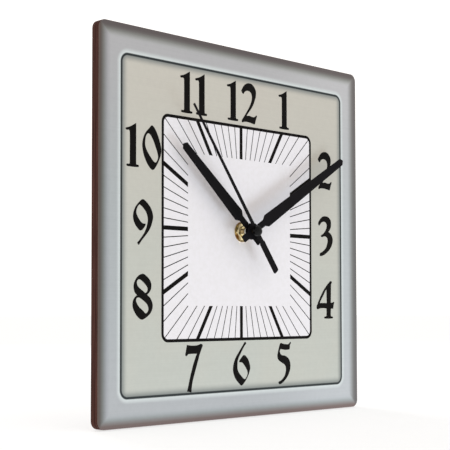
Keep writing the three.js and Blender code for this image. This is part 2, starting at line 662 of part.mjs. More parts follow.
piece('panel', panelSheet(PANEL_BACK, PRINT_BACK), MATERIAL.hardboard);
piece('printed_face', panelSheet(PRINT_BACK, FACE), MATERIAL.print);
piece('dial_washer', ring(WASHER.outer, WASHER.inner, FACE, NUT_BACK, CENTRE, SIDES.large), MATERIAL.brass);
piece('hex_nut', hexNut(), MATERIAL.brass);
piece('rubber_gasket', ring(GASKET.outer, GASKET.inner, GASKET_BACK, PANEL_BACK), MATERIAL.rubber);
piece('hanger_plate', hangerPlate(), MATERIAL.steel);

piece('front_case', frontCase(), MATERIAL.blackPlastic);
piece('threaded_bush', threadedBush(), MATERIAL.brass);
piece('rear_cover', rearCover(), MATERIAL.blackPlastic);
piece('train_plate', trainPlate(), MATERIAL.whitePlastic);
piece('battery', batteryCell(), MATERIAL.batteryJacket);
piece('battery_contact_plus', contactPlus(), MATERIAL.steel);
piece('battery_contact_minus', contactMinus(), MATERIAL.steel);

piece('circuit_board', circuitBoard(), MATERIAL.circuitGreen);
piece('chip', chip(), MATERIAL.epoxy);
piece('quartz_crystal', quartzCrystal(), MATERIAL.steel);
piece('stator', stator(), MATERIAL.steel);
piece('coil_core', coilCore(), MATERIAL.steel);
piece('coil_bobbin', coilBobbin(), MATERIAL.whitePlastic);
piece('coil_winding', coilWinding(), MATERIAL.copper);

piece('rotor', rotor(), MATERIAL.whitePlastic);
piece('rotor_magnet', rotorMagnet(), MATERIAL.magnet);
piece('intermediate_wheel', intermediateWheel(), MATERIAL.whitePlastic);
piece('second_wheel', secondWheel(), MATERIAL.whitePlastic);
piece('second_arbor', secondArbor(), MATERIAL.steel);
piece('third_wheel', thirdWheel(), MATERIAL.whitePlastic);
piece('centre_wheel', centreWheel(), MATERIAL.whitePlastic);

piece('minute_pipe', minutePipe(), MATERIAL.brass);
piece('minute_wheel', minuteWheel(), MATERIAL.whitePlastic);
piece('hour_wheel', hourWheel(), MATERIAL.whitePlastic);
piece('setting_pinion', settingPinion(), MATERIAL.whitePlastic);
piece('setting_knob', settingKnob(), MATERIAL.blackPlastic);

piece('hour_hand', hourHand(), MATERIAL.blackPaint, turned(HOUR_HAND.turn));
piece('minute_hand', minuteHand(), MATERIAL.blackPaint, turned(MINUTE_HAND.turn));
piece('second_hand', secondHand(), MATERIAL.blackPaint, turned(SECOND_HAND.turn));
piece('second_hand_cap', secondHandCap(), MATERIAL.blackPaint);

const upright = new THREE.Group();
upright.rotation.x = Math.PI / 2;
upright.add(clock);

export default upright;
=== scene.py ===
"""Looks of a square quartz wall clock: a printed board, three black hands and a battery movement.

Metres, +Z up, the dial facing -Y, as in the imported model. Shapes are written in the "dial frame"
in millimetres (x right, up, forward from the wall to the viewer) and turned upright at the end.
"""

import json
import math

import bmesh
import bpy
from mathutils import Matrix, Vector


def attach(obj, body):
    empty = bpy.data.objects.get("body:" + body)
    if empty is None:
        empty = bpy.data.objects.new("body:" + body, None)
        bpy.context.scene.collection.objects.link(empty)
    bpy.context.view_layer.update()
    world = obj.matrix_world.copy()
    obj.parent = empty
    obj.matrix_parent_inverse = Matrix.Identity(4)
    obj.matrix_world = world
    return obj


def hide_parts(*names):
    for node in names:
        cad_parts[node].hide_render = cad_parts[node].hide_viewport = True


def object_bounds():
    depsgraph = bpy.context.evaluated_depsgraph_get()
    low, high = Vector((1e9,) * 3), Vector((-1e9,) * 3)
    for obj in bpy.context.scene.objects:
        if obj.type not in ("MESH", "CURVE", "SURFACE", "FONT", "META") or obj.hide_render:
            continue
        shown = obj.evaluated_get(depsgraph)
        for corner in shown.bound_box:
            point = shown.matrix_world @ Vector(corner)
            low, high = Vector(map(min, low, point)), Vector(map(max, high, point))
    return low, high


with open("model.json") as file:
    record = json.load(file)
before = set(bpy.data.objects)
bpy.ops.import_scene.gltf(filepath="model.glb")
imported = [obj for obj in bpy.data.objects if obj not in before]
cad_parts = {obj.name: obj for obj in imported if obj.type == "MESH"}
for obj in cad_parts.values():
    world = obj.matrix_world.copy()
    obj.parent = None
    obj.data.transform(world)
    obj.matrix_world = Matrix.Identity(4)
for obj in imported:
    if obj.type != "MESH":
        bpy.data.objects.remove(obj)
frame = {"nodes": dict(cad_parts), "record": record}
cad_low, cad_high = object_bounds()

MM = 0.001
UPRIGHT = Matrix.Scale(MM, 4) @ Matrix.Rotation(math.pi / 2, 4, "X")
SCENE = bpy.context.scene

# ---------- sizes, in millimetres ----------

BOARD = 260.0
BOARD_CORNER = 5.5
BOARD_BACK, PRINT_BACK, FACE = 17.5, 24.0, 24.25
BOARD_HOLE = 4.3
# level of the darker band along the board's cut edges
EDGE_BAND_LEVEL = 21.6
INK_TOP, INK_FOOT, INK_SPREAD = FACE + 0.03, FACE - 0.05, 0.12
TRACK_TOP = INK_TOP - 0.01
TRACK_INNER, TRACK_OUTER, TRACK_CORNER, TRACK_LINE = 51.9, 75.0, 4.8, 2.1
HOUR_TICK, THIN_TICK, TICKS_PER_HOUR = 2.9, 0.62, 6
FRAME_LINE, FRAME_CORNER, BEVEL = 110.85, 5.5, 12.0
ART_X, ART_UP = -0.25, -0.3
CORNER_STEPS = 10


# ---------- shapes ----------

def link(name, mesh):
    piece = bpy.data.objects.new(name, mesh)
    SCENE.collection.objects.link(piece)
    return piece


def arc(centre, radius, start, end, steps):
    """Points on an arc, angles in degrees, both ends included."""
    angles = [math.radians(start + (end - start) * i / steps) for i in range(steps + 1)]
    return [(centre[0] + radius * math.cos(a), centre[1] + radius * math.sin(a)) for a in angles]


def circle(radius, centre=(0, 0), steps=96):
    return arc(centre, radius, 0, 360, steps)[:-1]


def rounded_square(half, radius, steps=CORNER_STEPS, half_up=None, centre=(0, 0)):
    """A square with round corners, or an oblong where half_up gives its other half side."""
    x, y = half - radius, (half_up or half) - radius
    points = []
    for across, upright, start in ((x, y, 0), (-x, y, 90), (-x, -y, 180), (x, -y, 270)):
        middle = (centre[0] + across, centre[1] + upright)
        points += arc(middle, radius, start, start + 90, steps)
    return points


def ring(count, radius, level):
    """Points round the dial's axis, the radius and the level numbers or functions of the angle."""
    points = []
    for k in range(count):
        angle = 2 * math.pi * k / count
        r = radius(angle) if callable(radius) else radius
        forward = level(angle) if callable(level) else level
        points.append((r * math.cos(angle), r * math.sin(angle), forward))
    return points


def rounded(points, radius, steps):
    """A closed outline with every corner rounded, by less where its edges are short."""
    result = []
    count = len(points)
    for i, corner in enumerate(points):
        before, here, after = Vector(points[i - 1]), Vector(corner), Vector(points[(i + 1) % count])
        a, b = before - here, after - here
        half_angle = a.angle(b) / 2
        if half_angle > math.radians(85):
            result.append(tuple(here))
            continue
        reach = min(radius / math.tan(half_angle), 0.45 * a.length, 0.45 * b.length)
        first, last = here + a.normalized() * reach, here + b.normalized() * reach
        for k in range(steps + 1):
            t = k / steps
            point = first * (1 - t) ** 2 + here * 2 * t * (1 - t) + last * t ** 2
            result.append(tuple(point))
    return result


def smooth_outline(text, steps=5):
    """A closed outline through points written "x up, x up, ..."; one that ends in ! is a corner."""
    words = [w.split() for w in text.split(",")]
    points = [Vector((float(w[0]), float(w[1].rstrip("!")))) for w in words]
    corner = [w[1].endswith("!") for w in words]
    count = len(points)
    result = []
    for i in range(count):
        p1, p2 = points[i], points[(i + 1) % count]
        p0 = p1 if corner[i] else points[i - 1]
        p3 = p2 if corner[(i + 1) % count] else points[(i + 2) % count]
        length = (p2 - p1).length
        lean = []
        for a, b in ((p0, p2), (p1, p3)):
            lean.append((b - a).normalized() * length if (b - a).length else b - a)
        for k in range(steps):
            t = k / steps
            result.append(tuple(
                p1 * (2 * t ** 3 - 3 * t ** 2 + 1) + lean[0] * (t ** 3 - 2 * t ** 2 + t)
                + p2 * (3 * t ** 2 - 2 * t ** 3) + lean[1] * (t ** 3 - t ** 2)))
    return result


def finish_mesh(mesh, sharp=35.0):
    """Welds a mesh, points its faces outwards and shades it smooth between sharp edges."""
    work = bmesh.new()
    work.from_mesh(mesh)
    bmesh.ops.remove_doubles(work, verts=work.verts, dist=2e-7)
    bmesh.ops.recalc_face_normals(work, faces=work.faces)
    for face in work.faces:
        face.smooth = True
    for edge in work.edges:
        edge.smooth = not (edge.is_manifold and edge.calc_face_angle(0) > math.radians(sharp))
    work.to_mesh(mesh)
    work.free()
    return mesh


def weighted(piece):
    piece.modifiers.new("normals", "WEIGHTED_NORMAL").keep_sharp = True
    return piece


def evaluated(piece):
    """A new mesh of a piece as it is seen, its modifiers worked in."""
    seen = piece.evaluated_get(bpy.context.evaluated_depsgraph_get())
    return bpy.data.meshes.new_from_object(seen)


def plate(name, contours, low, high, edge=0.0, pose=Matrix.Identity(4), spread=0.0):
    """A flat sheet with holes between two levels, its edges rounded and its outline spread."""
    curve = bpy.data.curves.new(name, "CURVE")
    curve.dimensions, curve.fill_mode = "2D", "BOTH"
    curve.extrude = (high - low) / 2 - edge
    curve.bevel_depth, curve.offset, curve.bevel_resolution = edge, spread - edge, 1
    for contour in contours:
        spline = curve.splines.new("POLY")
        spline.points.add(len(contour) - 1)
        for point, (x, y) in zip(spline.points, contour):
            point.co = (x, y, 0, 1)
        spline.use_cyclic_u = True
    carrier = link(name + "_curve", curve)
    mesh = evaluated(carrier)
    bpy.data.objects.remove(carrier)
    mesh.name = name
    mesh.transform(UPRIGHT @ pose @ Matrix.Translation((0, 0, (low + high) / 2)))
    return weighted(link(name, finish_mesh(mesh)))


def lathe(name, profile, segments=72, pose=Matrix.Identity(4), sharp=35.0):
    """A turned piece: a closed profile of (radius, forward) points round the dial's axis."""
    verts, faces, rings = [], [], []
    for radius, forward in profile:
        if radius < 1e-6:
            rings.append([len(verts)] * segments)
            verts.append((0, 0, forward))
        else:
            rings.append([len(verts) + k for k in range(segments)])
            verts += ring(segments, radius, forward)
    for first, second in zip(rings, rings[1:] + rings[:1]):
        for k in range(segments):
            n = (k + 1) % segments
            corners = list(dict.fromkeys([first[k], first[n], second[n], second[k]]))
            if len(corners) > 2:
                faces.append(corners)
    mesh = bpy.data.meshes.new(name)
    mesh.from_pydata(verts, [], faces)
    mesh.transform(UPRIGHT @ pose)
    return weighted(link(name, finish_mesh(mesh, sharp)))


def refined(name, node, width):
    """A copy of a CAD node with its flat faces made whole and its edges rounded."""
    work = bmesh.new()
    work.from_mesh(frame["nodes"][node].data)
    bmesh.ops.remove_doubles(work, verts=work.verts, dist=1e-6)
    bmesh.ops.dissolve_limit(work, angle_limit=math.radians(1), verts=work.verts,
                             edges=work.edges)
    mesh = bpy.data.meshes.new(name)
    work.to_mesh(mesh)
    work.free()
    piece = link(name, finish_mesh(mesh))
    bevel = piece.modifiers.new("edges", "BEVEL")
    bevel.width, bevel.segments, bevel.limit_method = width * MM, 2, "ANGLE"
    bevel.angle_limit = math.radians(40)
    return weighted(piece)


def place(piece, material, body, slot, *nodes):
    """Gives a piece its finish and its body, and hides the CAD nodes it stands for."""
    piece.data.materials.clear()
    piece.data.materials.append(material)
    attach(piece, body)
    if nodes:
        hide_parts(*nodes)


# ---------- materials ----------

def srgb(r, g, b):
    """A linear colour from 0-255 screen values."""
    def linear(value):
        value /= 255
        return value / 12.92 if value <= 0.04045 else ((value + 0.055) / 1.055) ** 2.4
    return linear(r), linear(g), linear(b), 1.0


class Field:
    """A number that varies over a surface, written as a formula."""

    def __init__(self, paint, socket):
        self.paint, self.socket = paint, socket

    def _math(self, operation, *others):
        node = self.paint.node("ShaderNodeMath", operation=operation)
        for slot, value in zip(node.inputs, (self, *others)):
            self.paint.feed(slot, value)
        return Field(self.paint, node.outputs[0])

    def __add__(self, other): return self._math("ADD", other)
    def __sub__(self, other): return self._math("SUBTRACT", other)
    def __mul__(self, other): return self._math("MULTIPLY", other)
    def __neg__(self): return self._math("MULTIPLY", -1.0)
    def abs(self): return self._math("ABSOLUTE")
    def most(self, other): return self._math("MAXIMUM", other)
    def least(self, other): return self._math("MINIMUM", other)
    def power(self, other): return self._math("POWER", other)
    def above(self, other): return self._math("GREATER_THAN", other)
    def sine(self): return self._math("SINE")

    def step(self, low, high, to_low=0.0, to_high=1.0):
        """A smooth step from to_low at low to to_high at high."""
        node = self.paint.node("ShaderNodeMapRange", interpolation_type="SMOOTHSTEP")
        for slot, value in zip(node.inputs, (self, low, high, to_low, to_high)):
            self.paint.feed(slot, value)
        return Field(self.paint, node.outputs[0])

    def near(self, value, width, blur):
        """1 within half the width of a value, falling to 0 over blur."""
        return (self - value).abs().step(width / 2 - blur / 2, width / 2 + blur / 2, 1.0, 0.0)


class Paint:
    """A procedural material on the principled shader."""

    def __init__(self, name, roughness, metallic=0.0, **sockets):
        self.material = bpy.data.materials.new(name)
        self.material.use_nodes = True
        self.tree = self.material.node_tree
        self.shader = self.tree.nodes["Principled BSDF"]
        self.shader.inputs["Metallic"].default_value = metallic
        self.shader.inputs["Roughness"].default_value = roughness
        for socket, value in sockets.items():
            self.shader.inputs[socket.replace("_", " ")].default_value = value
        self.coordinates = self.node("ShaderNodeTexCoord").outputs["Object"]

    def node(self, kind, **settings):
        made = self.tree.nodes.new(kind)
        for key, value in settings.items():
            setattr(made, key, value)
        return made

    def feed(self, slot, value):
        if isinstance(value, Field):
            self.tree.links.new(value.socket, slot)
        elif isinstance(value, bpy.types.NodeSocket):
            self.tree.links.new(value, slot)
        else:
            slot.default_value = value

    def axes(self):
        """Position over the dial in millimetres: x, up and forward."""
        split = self.node("ShaderNodeSeparateXYZ")
        self.feed(split.inputs[0], self.coordinates)
        x, y, z = (Field(self, s) for s in split.outputs)
        return x * 1000.0, z * 1000.0, y * -1000.0

    def noise(self, size, stretch=(1, 1, 1), detail=2.0, roughness=0.5, shift=0.0):
        """Noise around 0.5, its grains about size millimetres, longer where stretch is above 1."""
        mapping = self.node("ShaderNodeMapping")
        self.feed(mapping.inputs["Vector"], self.coordinates)
        mapping.inputs["Scale"].default_value = tuple(1000.0 / (size * s) for s in stretch)
        mapping.inputs["Location"].default_value = (shift, shift, shift)
        noise = self.node("ShaderNodeTexNoise")
        self.feed(noise.inputs["Vector"], mapping.outputs[0])
        noise.inputs["Scale"].default_value = 1.0
        noise.inputs["Detail"].default_value = detail
        noise.inputs["Roughness"].default_value = roughness
        return Field(self, noise.outputs["Fac"])

    def ramp(self, field, stops, high, against=(255, 255, 255)):
        """A colour that runs through stops of (value, colour), for values from 0 to high.

        Each colour is a share of the colour against.
        """
        whole = srgb(*against)
        node = self.node("ShaderNodeValToRGB")
        elements = node.color_ramp.elements
        elements[0].position, elements[1].position = stops[0][0] / high, stops[-1][0] / high
        for value, _ in stops[1:-1]:
            elements.new(value / high)
        for element, (_, colour) in zip(sorted(elements, key=lambda e: e.position), stops):
            element.color = [c / w for c, w in zip(srgb(*colour), whole)]
        self.feed(node.inputs[0], field * (1.0 / high))
        return node.outputs["Color"]

    def mix(self, share, first, second, blend="MIX"):
        node = self.node("ShaderNodeMix", data_type="RGBA", blend_type=blend)
        self.feed(node.inputs["Factor"], share)
        self.feed(node.inputs[6], first)
        self.feed(node.inputs[7], second)
        return node.outputs[2]

    def shade(self, colour, amount):
        """A colour made lighter or darker by a factor that varies."""
        combine = self.node("ShaderNodeCombineXYZ")
        for slot in combine.inputs:
            self.feed(slot, amount)
        return self.mix(1.0, colour, combine.outputs[0], "MULTIPLY")

    def finish(self, colour, roughness=None, height=None, depth=0.0):
        """The material in a colour, with a roughness and a bump of depth millimetres if given."""
        self.feed(self.shader.inputs["Base Color"], colour)
        if roughness is not None:
            self.feed(self.shader.inputs["Roughness"], roughness)
        if height is not None:
            bump = self.node("ShaderNodeBump")
            bump.inputs["Distance"].default_value = depth * MM
            self.feed(bump.inputs["Height"], height)
            self.feed(self.shader.inputs["Normal"], bump.outputs[0])
        return self.material


BLOTCH, ROUGHNESS_SPREAD = 14.0, 0.06


def plain(name, dark, light, roughness, metallic=0.0, grain=0.6, stretch=(1, 1, 1), depth=0.01,
          **sockets):
    """A moulded, painted or plated surface: two close colours, blotches, and a fine bump."""
    paint = Paint(name, roughness, metallic, **sockets)
    fine = paint.noise(grain, stretch, 3.0, 0.6)
    broad = paint.noise(BLOTCH, shift=3.7)
    colour = paint.mix((fine * 0.5 + broad * 0.5).step(0.35, 0.65), srgb(*dark), srgb(*light))
    gloss = fine.step(0.3, 0.7, roughness - ROUGHNESS_SPREAD, roughness + ROUGHNESS_SPREAD)
    return paint.finish(colour, gloss, fine, depth)


def outside_square(across, upright, half, radius):
    """How far outside a rounded square a point lies, in millimetres; negative inside."""
    inset = half - radius
    dx, dy = (across - inset).most(0.0), (upright - inset).most(0.0)
    inner = (across - inset).most(upright - inset).least(0.0)
    return (dx * dx + dy * dy).power(0.5) + inner - radius


def hardboard_material():
    """Pressed fibre: layers on its cut edges, short crossed fibres on its flat sides."""
    paint = Paint("hardboard", 0.78, Specular_IOR_Level=0.1)
    x, up, forward = paint.axes()
    rim = outside_square(x.abs(), up.abs(), BOARD / 2, BOARD_CORNER).step(-0.5, -0.2)
    layers = paint.noise(0.7, (60, 1, 60), 3.0, 0.6)
    across, upright = (paint.noise(0.55, stretch, 3.0, 0.65, shift)
                       for stretch, shift in (((7, 1, 1), 2.1), ((1, 1, 7), 9.4)))
    fibre = across * 0.5 + upright * 0.5
    blotch = paint.noise(11.0, (1, 1, 1), 3.0, 0.6, 5.3)

    # the cut edges, with a darker band along them a little in front of the middle of the board's
    # thickness
    bands = (layers * 0.7 + fibre * 0.3).step(0.4, 0.6)
    cut = paint.mix(bands, srgb(60, 34, 28), srgb(94, 60, 53))
    cut = paint.mix(forward.near(EDGE_BAND_LEVEL, 1.1, 0.9) * 0.55, cut, srgb(52, 28, 23))

    # the flat sides
    mat = (fibre * 0.8 + blotch * 0.2).step(0.4, 0.6)
    flat = paint.mix(mat, srgb(66, 41, 32), srgb(96, 63, 50))
    flat = paint.shade(flat, blotch.step(0.3, 0.7, 0.93, 1.07))
    colour = paint.mix(rim, flat, cut)
    return paint.finish(colour, fibre.step(0.3, 0.7, 0.7, 0.86), fibre * 0.7 + layers * 0.3, 0.06)


def print_material():
    """The printed sheet: a grey frame shaded like a bevel, a lined field and a white square."""
    paint = Paint("printed_sheet", 0.42, Specular_IOR_Level=0.15)
    x, up, _ = paint.axes()
    across, upright = x.abs(), up.abs()
    half = BOARD / 2
    from_edge = across.most(upright) * -1.0 + half
    art_across, art_upright = (x - ART_X).abs(), (up - ART_UP).abs()

    # the frame: a flat grey, cooler below and lighter on the right, dark towards the outer edge
    frame_colour = paint.ramp(up + half, [
        (0.0, (186, 189, 192)), (70.0, (182, 187, 189)), (150.0, (180, 185, 186)),
        (215.0, (182, 183, 184)), (250.0, (185, 184, 185))], BOARD)
    frame_colour = paint.shade(frame_colour, x.step(10.0, 115.0, 1.0, 1.17))
    left = paint.ramp(from_edge, [
        (0.0, (98, 86, 78)), (1.3, (92, 84, 78)), (2.2, (98, 95, 90)), (4.0, (121, 125, 121)),
        (5.8, (145, 150, 150)), (7.6, (167, 172, 174)), (10.0, (178, 184, 184))],
        BEVEL, (178, 184, 184))
    right = paint.ramp(from_edge, [
        (0.0, (106, 104, 104)), (2.5, (108, 107, 107)), (4.0, (116, 116, 116)),
        (5.4, (132, 134, 133)), (7.7, (162, 166, 168)), (9.9, (183, 188, 191)),
        (11.6, (187, 192, 195))], BEVEL, (187, 192, 195))
    top = paint.ramp(from_edge, [
        (0.0, (97, 89, 89)), (2.4, (98, 91, 90)), (3.8, (108, 103, 101)), (5.7, (135, 135, 131)),
        (7.5, (164, 164, 162)), (8.9, (179, 179, 179)), (10.2, (184, 183, 184))],
        BEVEL, (184, 183, 184))
    bottom = paint.ramp(from_edge, [
        (0.0, (118, 101, 99)), (2.0, (122, 107, 104)), (4.2, (143, 140, 140)),
        (5.4, (156, 159, 160)), (6.7, (171, 174, 177)), (8.3, (184, 186, 190)),
        (10.0, (187, 188, 192))], BEVEL, (188, 189, 193))
    sides = paint.mix(x.above(0.0), left, right)
    caps = paint.mix(up.above(0.0), bottom, top)
    bevel = paint.mix((across - upright).step(-1.8, 1.8), caps, sides)
    frame_colour = paint.mix(1.0, frame_colour, bevel, "MULTIPLY")

    # a light lip outside the rounded line between frame and field
    outside = outside_square(art_across, art_upright, FRAME_LINE, FRAME_CORNER)
    colour = paint.mix(outside.step(1.2, 4.4, 0.85, 0.0), frame_colour, srgb(220, 227, 226))

    # the field: warm above, greener below, a little darker to the upper right and by the line
    field = paint.ramp(up + half, [
        (30.0, (198, 201, 193)), (95.0, (198, 200, 191)), (170.0, (201, 199, 189)),
        (236.0, (204, 199, 188))], BOARD)
    warm = paint.noise(55.0, shift=1.3)
    field = paint.mix(warm.step(0.35, 0.65, 0.0, 0.35), field, srgb(204, 202, 191))
    field = paint.shade(field, (x + up * 0.6).step(-60.0, 170.0, 1.02, 0.995))
    shadow = (-outside).step(0.3, 6.5, 1.0, 0.0).power(1.5)
    field = paint.mix(shadow * 0.85, field, srgb(124, 130, 129))
    colour = paint.mix(outside.step(-0.25, 0.25, 1.0, 0.0), colour, field)
    colour = paint.mix(outside.near(0.0, 1.6, 0.7), colour, srgb(44, 50, 51))

    # faint streaks of the printer's passes and a fine mottle
    streaks = paint.noise(0.9, (90, 1, 1), 2.0, 0.6, 8.1)
    mottle = paint.noise(3.0, (1, 1, 1), 3.0, 0.55, 4.4)
    uneven = streaks.step(0.3, 0.7, 0.986, 1.014) * mottle.step(0.3, 0.7, 0.988, 1.012)
    colour = paint.shade(colour, uneven)

    # the white square, to the middle of its ink outline
    white = outside_square(art_across, art_upright, TRACK_OUTER, TRACK_CORNER)
    paper = paint.mix(mottle.step(0.35, 0.65), srgb(241, 238, 240), srgb(244, 241, 244))
    colour = paint.mix(white.step(-0.8, -0.6, 1.0, 0.0), colour, paper)
    peel = paint.noise(1.6, shift=6.6)
    return paint.finish(colour, mottle.step(0.3, 0.7, 0.38, 0.46), peel, 0.006)


def brass_material():
    """Turned brass: fine rings round the axis, and darker browner patches, partly tarnish and
    partly painted dark reflections.
    """
    paint = Paint("brass", 0.24, 1.0)
    x, up, forward = paint.axes()
    radius = (x * x + up * up).power(0.5)
    turned = paint.node("ShaderNodeTexNoise", noise_dimensions="1D")
    turned.inputs["Scale"].default_value = 9.0
    paint.feed(turned.inputs["W"], radius + forward * 0.6)
    rings = Field(paint, turned.outputs["Fac"])
    # dark patches painted into the colour: painted reflections of dark surroundings, with some
    # tarnish
    tarnish_and_reflection = paint.noise(4.4, (1, 1, 1), 1.0, 0.5, 1.9)
    colour = paint.mix(tarnish_and_reflection.step(0.4, 0.64), srgb(240, 224, 176), srgb(142, 106, 58))
    return paint.finish(colour, tarnish_and_reflection.step(0.3, 0.7, 0.2, 0.32), rings, 0.003)


WIRE = 0.16


def copper_material():
    """Enamelled wire, its turns side by side."""
    paint = Paint("copper_winding", 0.32, 1.0)
    x, _, _ = paint.axes()
    turns = (x * (2 * math.pi / WIRE)).sine()
    uneven = paint.noise(1.5)
    colour = paint.mix(uneven.step(0.35, 0.65), srgb(150, 74, 38), srgb(196, 110, 62))
    return paint.finish(colour, uneven.step(0.3, 0.7, 0.26, 0.4), turns, 0.05)


BAND_START, BAND_LINE, SLEEVE_END = 9.0, 8.2, 24.3


def battery_material():
    """A cell's sleeve: a dark body, a bright band by the positive end, and bare metal ends."""
    paint = Paint("battery_sleeve", 0.32, 0.0, Coat_Weight=0.4)
    x, _, _ = paint.axes()
    fine = paint.noise(0.5, (30, 1, 1))
    body = paint.mix(fine.step(0.35, 0.65), srgb(30, 34, 40), srgb(38, 43, 50))
    band = paint.mix(fine.step(0.35, 0.65), srgb(188, 142, 66), srgb(202, 158, 84))
    colour = paint.mix(x.step(BAND_START - 0.1, BAND_START + 0.1), body, band)
    colour = paint.mix(x.near(BAND_LINE, 0.5, 0.1), colour, srgb(225, 222, 214))
    metal = x.abs().step(SLEEVE_END - 0.15, SLEEVE_END)
    colour = paint.mix(metal, colour, srgb(196, 198, 202))
    paint.feed(paint.shader.inputs["Metallic"], metal)
    return paint.finish(colour, fine.step(0.3, 0.7, 0.26, 0.38), fine, 0.004)


def board_material():
    """Green solder mask over a glass weave, with lighter copper traces under it."""
    paint = Paint("circuit_board", 0.42)
    x, up, _ = paint.axes()
    weave = (x * 9.0).sine() * (up * 9.0).sine()
    trace = paint.noise(2.6, (3, 1, 1), 1.0, 0.4, 7.7)
    colour = paint.mix(trace.near(0.5, 0.07, 0.02), srgb(26, 84, 48), srgb(62, 124, 70))
    return paint.finish(colour, trace.step(0.3, 0.7, 0.36, 0.5), weave * 0.3 + trace, 0.02)


HARDBOARD = hardboard_material()
PRINT = print_material()
BRASS = brass_material()
COPPER = copper_material()
BATTERY = battery_material()
GREEN = board_material()
INK = plain("black_ink", (12, 11, 10), (20, 18, 17), 0.5, grain=0.9, depth=0.004,
            Specular_IOR_Level=0.04)
PAINT = plain("black_paint", (10, 9, 11), (17, 15, 19), 0.5, grain=0.35, depth=0.008,
              Specular_IOR_Level=0.06)
CAP = plain("cap_plastic", (5, 5, 6), (11, 11, 12), 0.24, grain=0.4, depth=0.003,
            Specular_IOR_Level=0.14)
BLACK = plain("black_plastic", (22, 22, 24), (31, 31, 33), 0.5, grain=0.28, depth=0.02)
WHITE = plain("white_acetal", (214, 211, 200), (230, 228, 219), 0.4, grain=0.5, depth=0.005)
STEEL = plain("zinc_steel", (150, 153, 158), (184, 187, 191), 0.34, 1.0, grain=0.3,
              stretch=(1, 1, 14), depth=0.008)
MAGNET = plain("sintered_magnet", (70, 71, 75), (92, 93, 97), 0.42, 1.0, grain=0.2)
EPOXY = plain("epoxy", (12, 12, 13), (20, 20, 21), 0.22, grain=1.2, depth=0.02)
RUBBER = plain("rubber", (26, 26, 27), (38, 38, 39), 0.82, grain=0.3, depth=0.03)

# every carried-over CAD node gets its finish
FINISHES = {
    "hardboard": HARDBOARD, "print": PRINT, "brass": BRASS, "rubber": RUBBER, "steel": STEEL,
    "black_plastic": BLACK, "white_plastic": WHITE, "battery_jacket": BATTERY,
    "circuit_board": GREEN, "chip_epoxy": EPOXY, "copper": COPPER, "magnet": MAGNET,
    "black_paint": PAINT, "cap_plastic": CAP,
}
for part in frame["record"]["subparts"]:
    node = frame["nodes"][part["node"]]
    node.data.materials.clear()
    node.data.materials.append(FINISHES[part["material_slot"]])

# ---------- board and print ----------

SQUARE = [rounded_square(BOARD / 2, BOARD_CORNER), circle(BOARD_HOLE)]
place(plate("board", SQUARE, BOARD_BACK, PRINT_BACK, 0.25), HARDBOARD, "clock_body", "hardboard",
      "panel")
place(plate("print_sheet", SQUARE, PRINT_BACK, FACE, 0.1), PRINT, "clock_body", "print",
      "printed_face")


# ---------- ink ----------

# Numerals: outlines over the face in millimetres. 1 and 2 are drawn once and set again elsewhere.
ONE = ("""
    -5.3 107.2!, -7.3 106.1, -9.3 105, -10.8 104.3, -12.4 103.8, -13.8 103.4, -14.1 102.8,
    -13.3 102.2, -11.6 102.4, -10.8 101.7, -10.55 100.3, -10.55 81!, -10.9 80.3, -11.7 80.1,
    -12.9 80.1, -13.4 79.5, -12.9 78.8, -3.5 78.8, -2.9 79.5, -3.5 80.1, -4.3 80.15, -5 80.4,
    -5.3 81.2!""",)
TWO = ("""
    0.4 101.1!, 1.8 103.2, 3.4 105.1, 5.7 106.6, 8.2 107.2, 10.7 107, 12.7 106, 14.5 104.2,
    15.4 102.2, 15.5 100.2, 15.2 98.2, 14.2 95.7, 13.1 93.2, 11.5 90.6, 9.4 88, 7.4 85.8,
    5.6 83.6!, 6.7 83.5, 8.7 83.8, 11.2 83.3, 13.7 83.4, 14.7 84, 15.8 84.8, 16.4 84.4,
    15.8 82.8, 15 80.7, 14.3 78.7, 13.7 78.4, 11.2 78.8, 8.7 79.2, 5.2 79.3, 2.7 79, 1.6 78.5,
    0.9 78.8, 1 80, 2.2 81.6, 4 83.8, 6 86.4, 8 89.2, 9.8 92.2, 11 95, 11.4 97.2, 11.1 99.2,
    10.2 100.6, 8.8 101.5, 7.2 101.8, 5.4 101.5, 4.1 100.8, 3.1 99.7, 2.6 98.9!, 1.4 99.5""",)
THREE = ("""
    84.1 10.4!, 84.6 11.8, 85.8 13.4, 87.5 14.9, 89.7 16.1, 92.2 16.5, 95 16.3, 97.2 15.3,
    98.7 13.8, 99.3 11.7, 99.1 9.2, 98.4 7.4, 97.1 5.8, 95.8 4.7!, 97.4 4.2, 99.2 3, 100.5 1.4,
    101.2 -0.8, 101 -3, 100.1 -5.2, 98.6 -7.4, 96.6 -9.4, 94 -11.2, 91 -12.8, 88.2 -13.7,
    86.2 -13.8, 85.8 -12.6, 86.5 -11.7, 88.3 -11, 90.3 -9.9, 92.3 -8.4, 93.9 -6.4, 94.9 -4,
    95.3 -1.8, 94.8 -0.2, 93.6 0.9, 91.9 1.3, 90.2 1.1, 88.7 0.6, 87.7 0.8!, 87.2 1.5,
    88.2 2.1, 89.8 2.9, 91.2 4, 92.7 5.6, 93.8 7.4, 94.2 9.2, 94 10.6, 93.1 11.8, 91.5 12.4,
    89.5 12.3, 87.8 11.5, 86.5 10.3, 85.4 9.1!""",)
FOUR = ("""
    98 -32.8!, 99.6 -33.1, 99.8 -33.7, 98.9 -35.4!, 98.5 -49.4!, 100.7 -49.2, 102.4 -48.7,
    102.5 -49.4, 101.9 -50.8, 101.4 -53.6!, 98.6 -53.7!, 98.4 -58.6, 98.9 -59.7, 100.2 -59.9,
    101 -60.5, 100.2 -61.1, 91.3 -61.1, 90.7 -60.5, 91.4 -59.9, 93 -59.7, 93.5 -58.6,
    93.5 -53.6!, 89.2 -53.2, 85.7 -53.5, 82.8 -54.1, 82 -53.4, 81.9 -52.2, 82.8 -50.6,
    84.4 -47.8, 87.1 -43.8, 90.2 -39.8, 94.3 -35.8""", """
    93.5 -39.2!, 92.5 -39.8, 89.6 -43.8, 86.5 -47.8, 85.4 -49.6!, 93.8 -49.6!""")
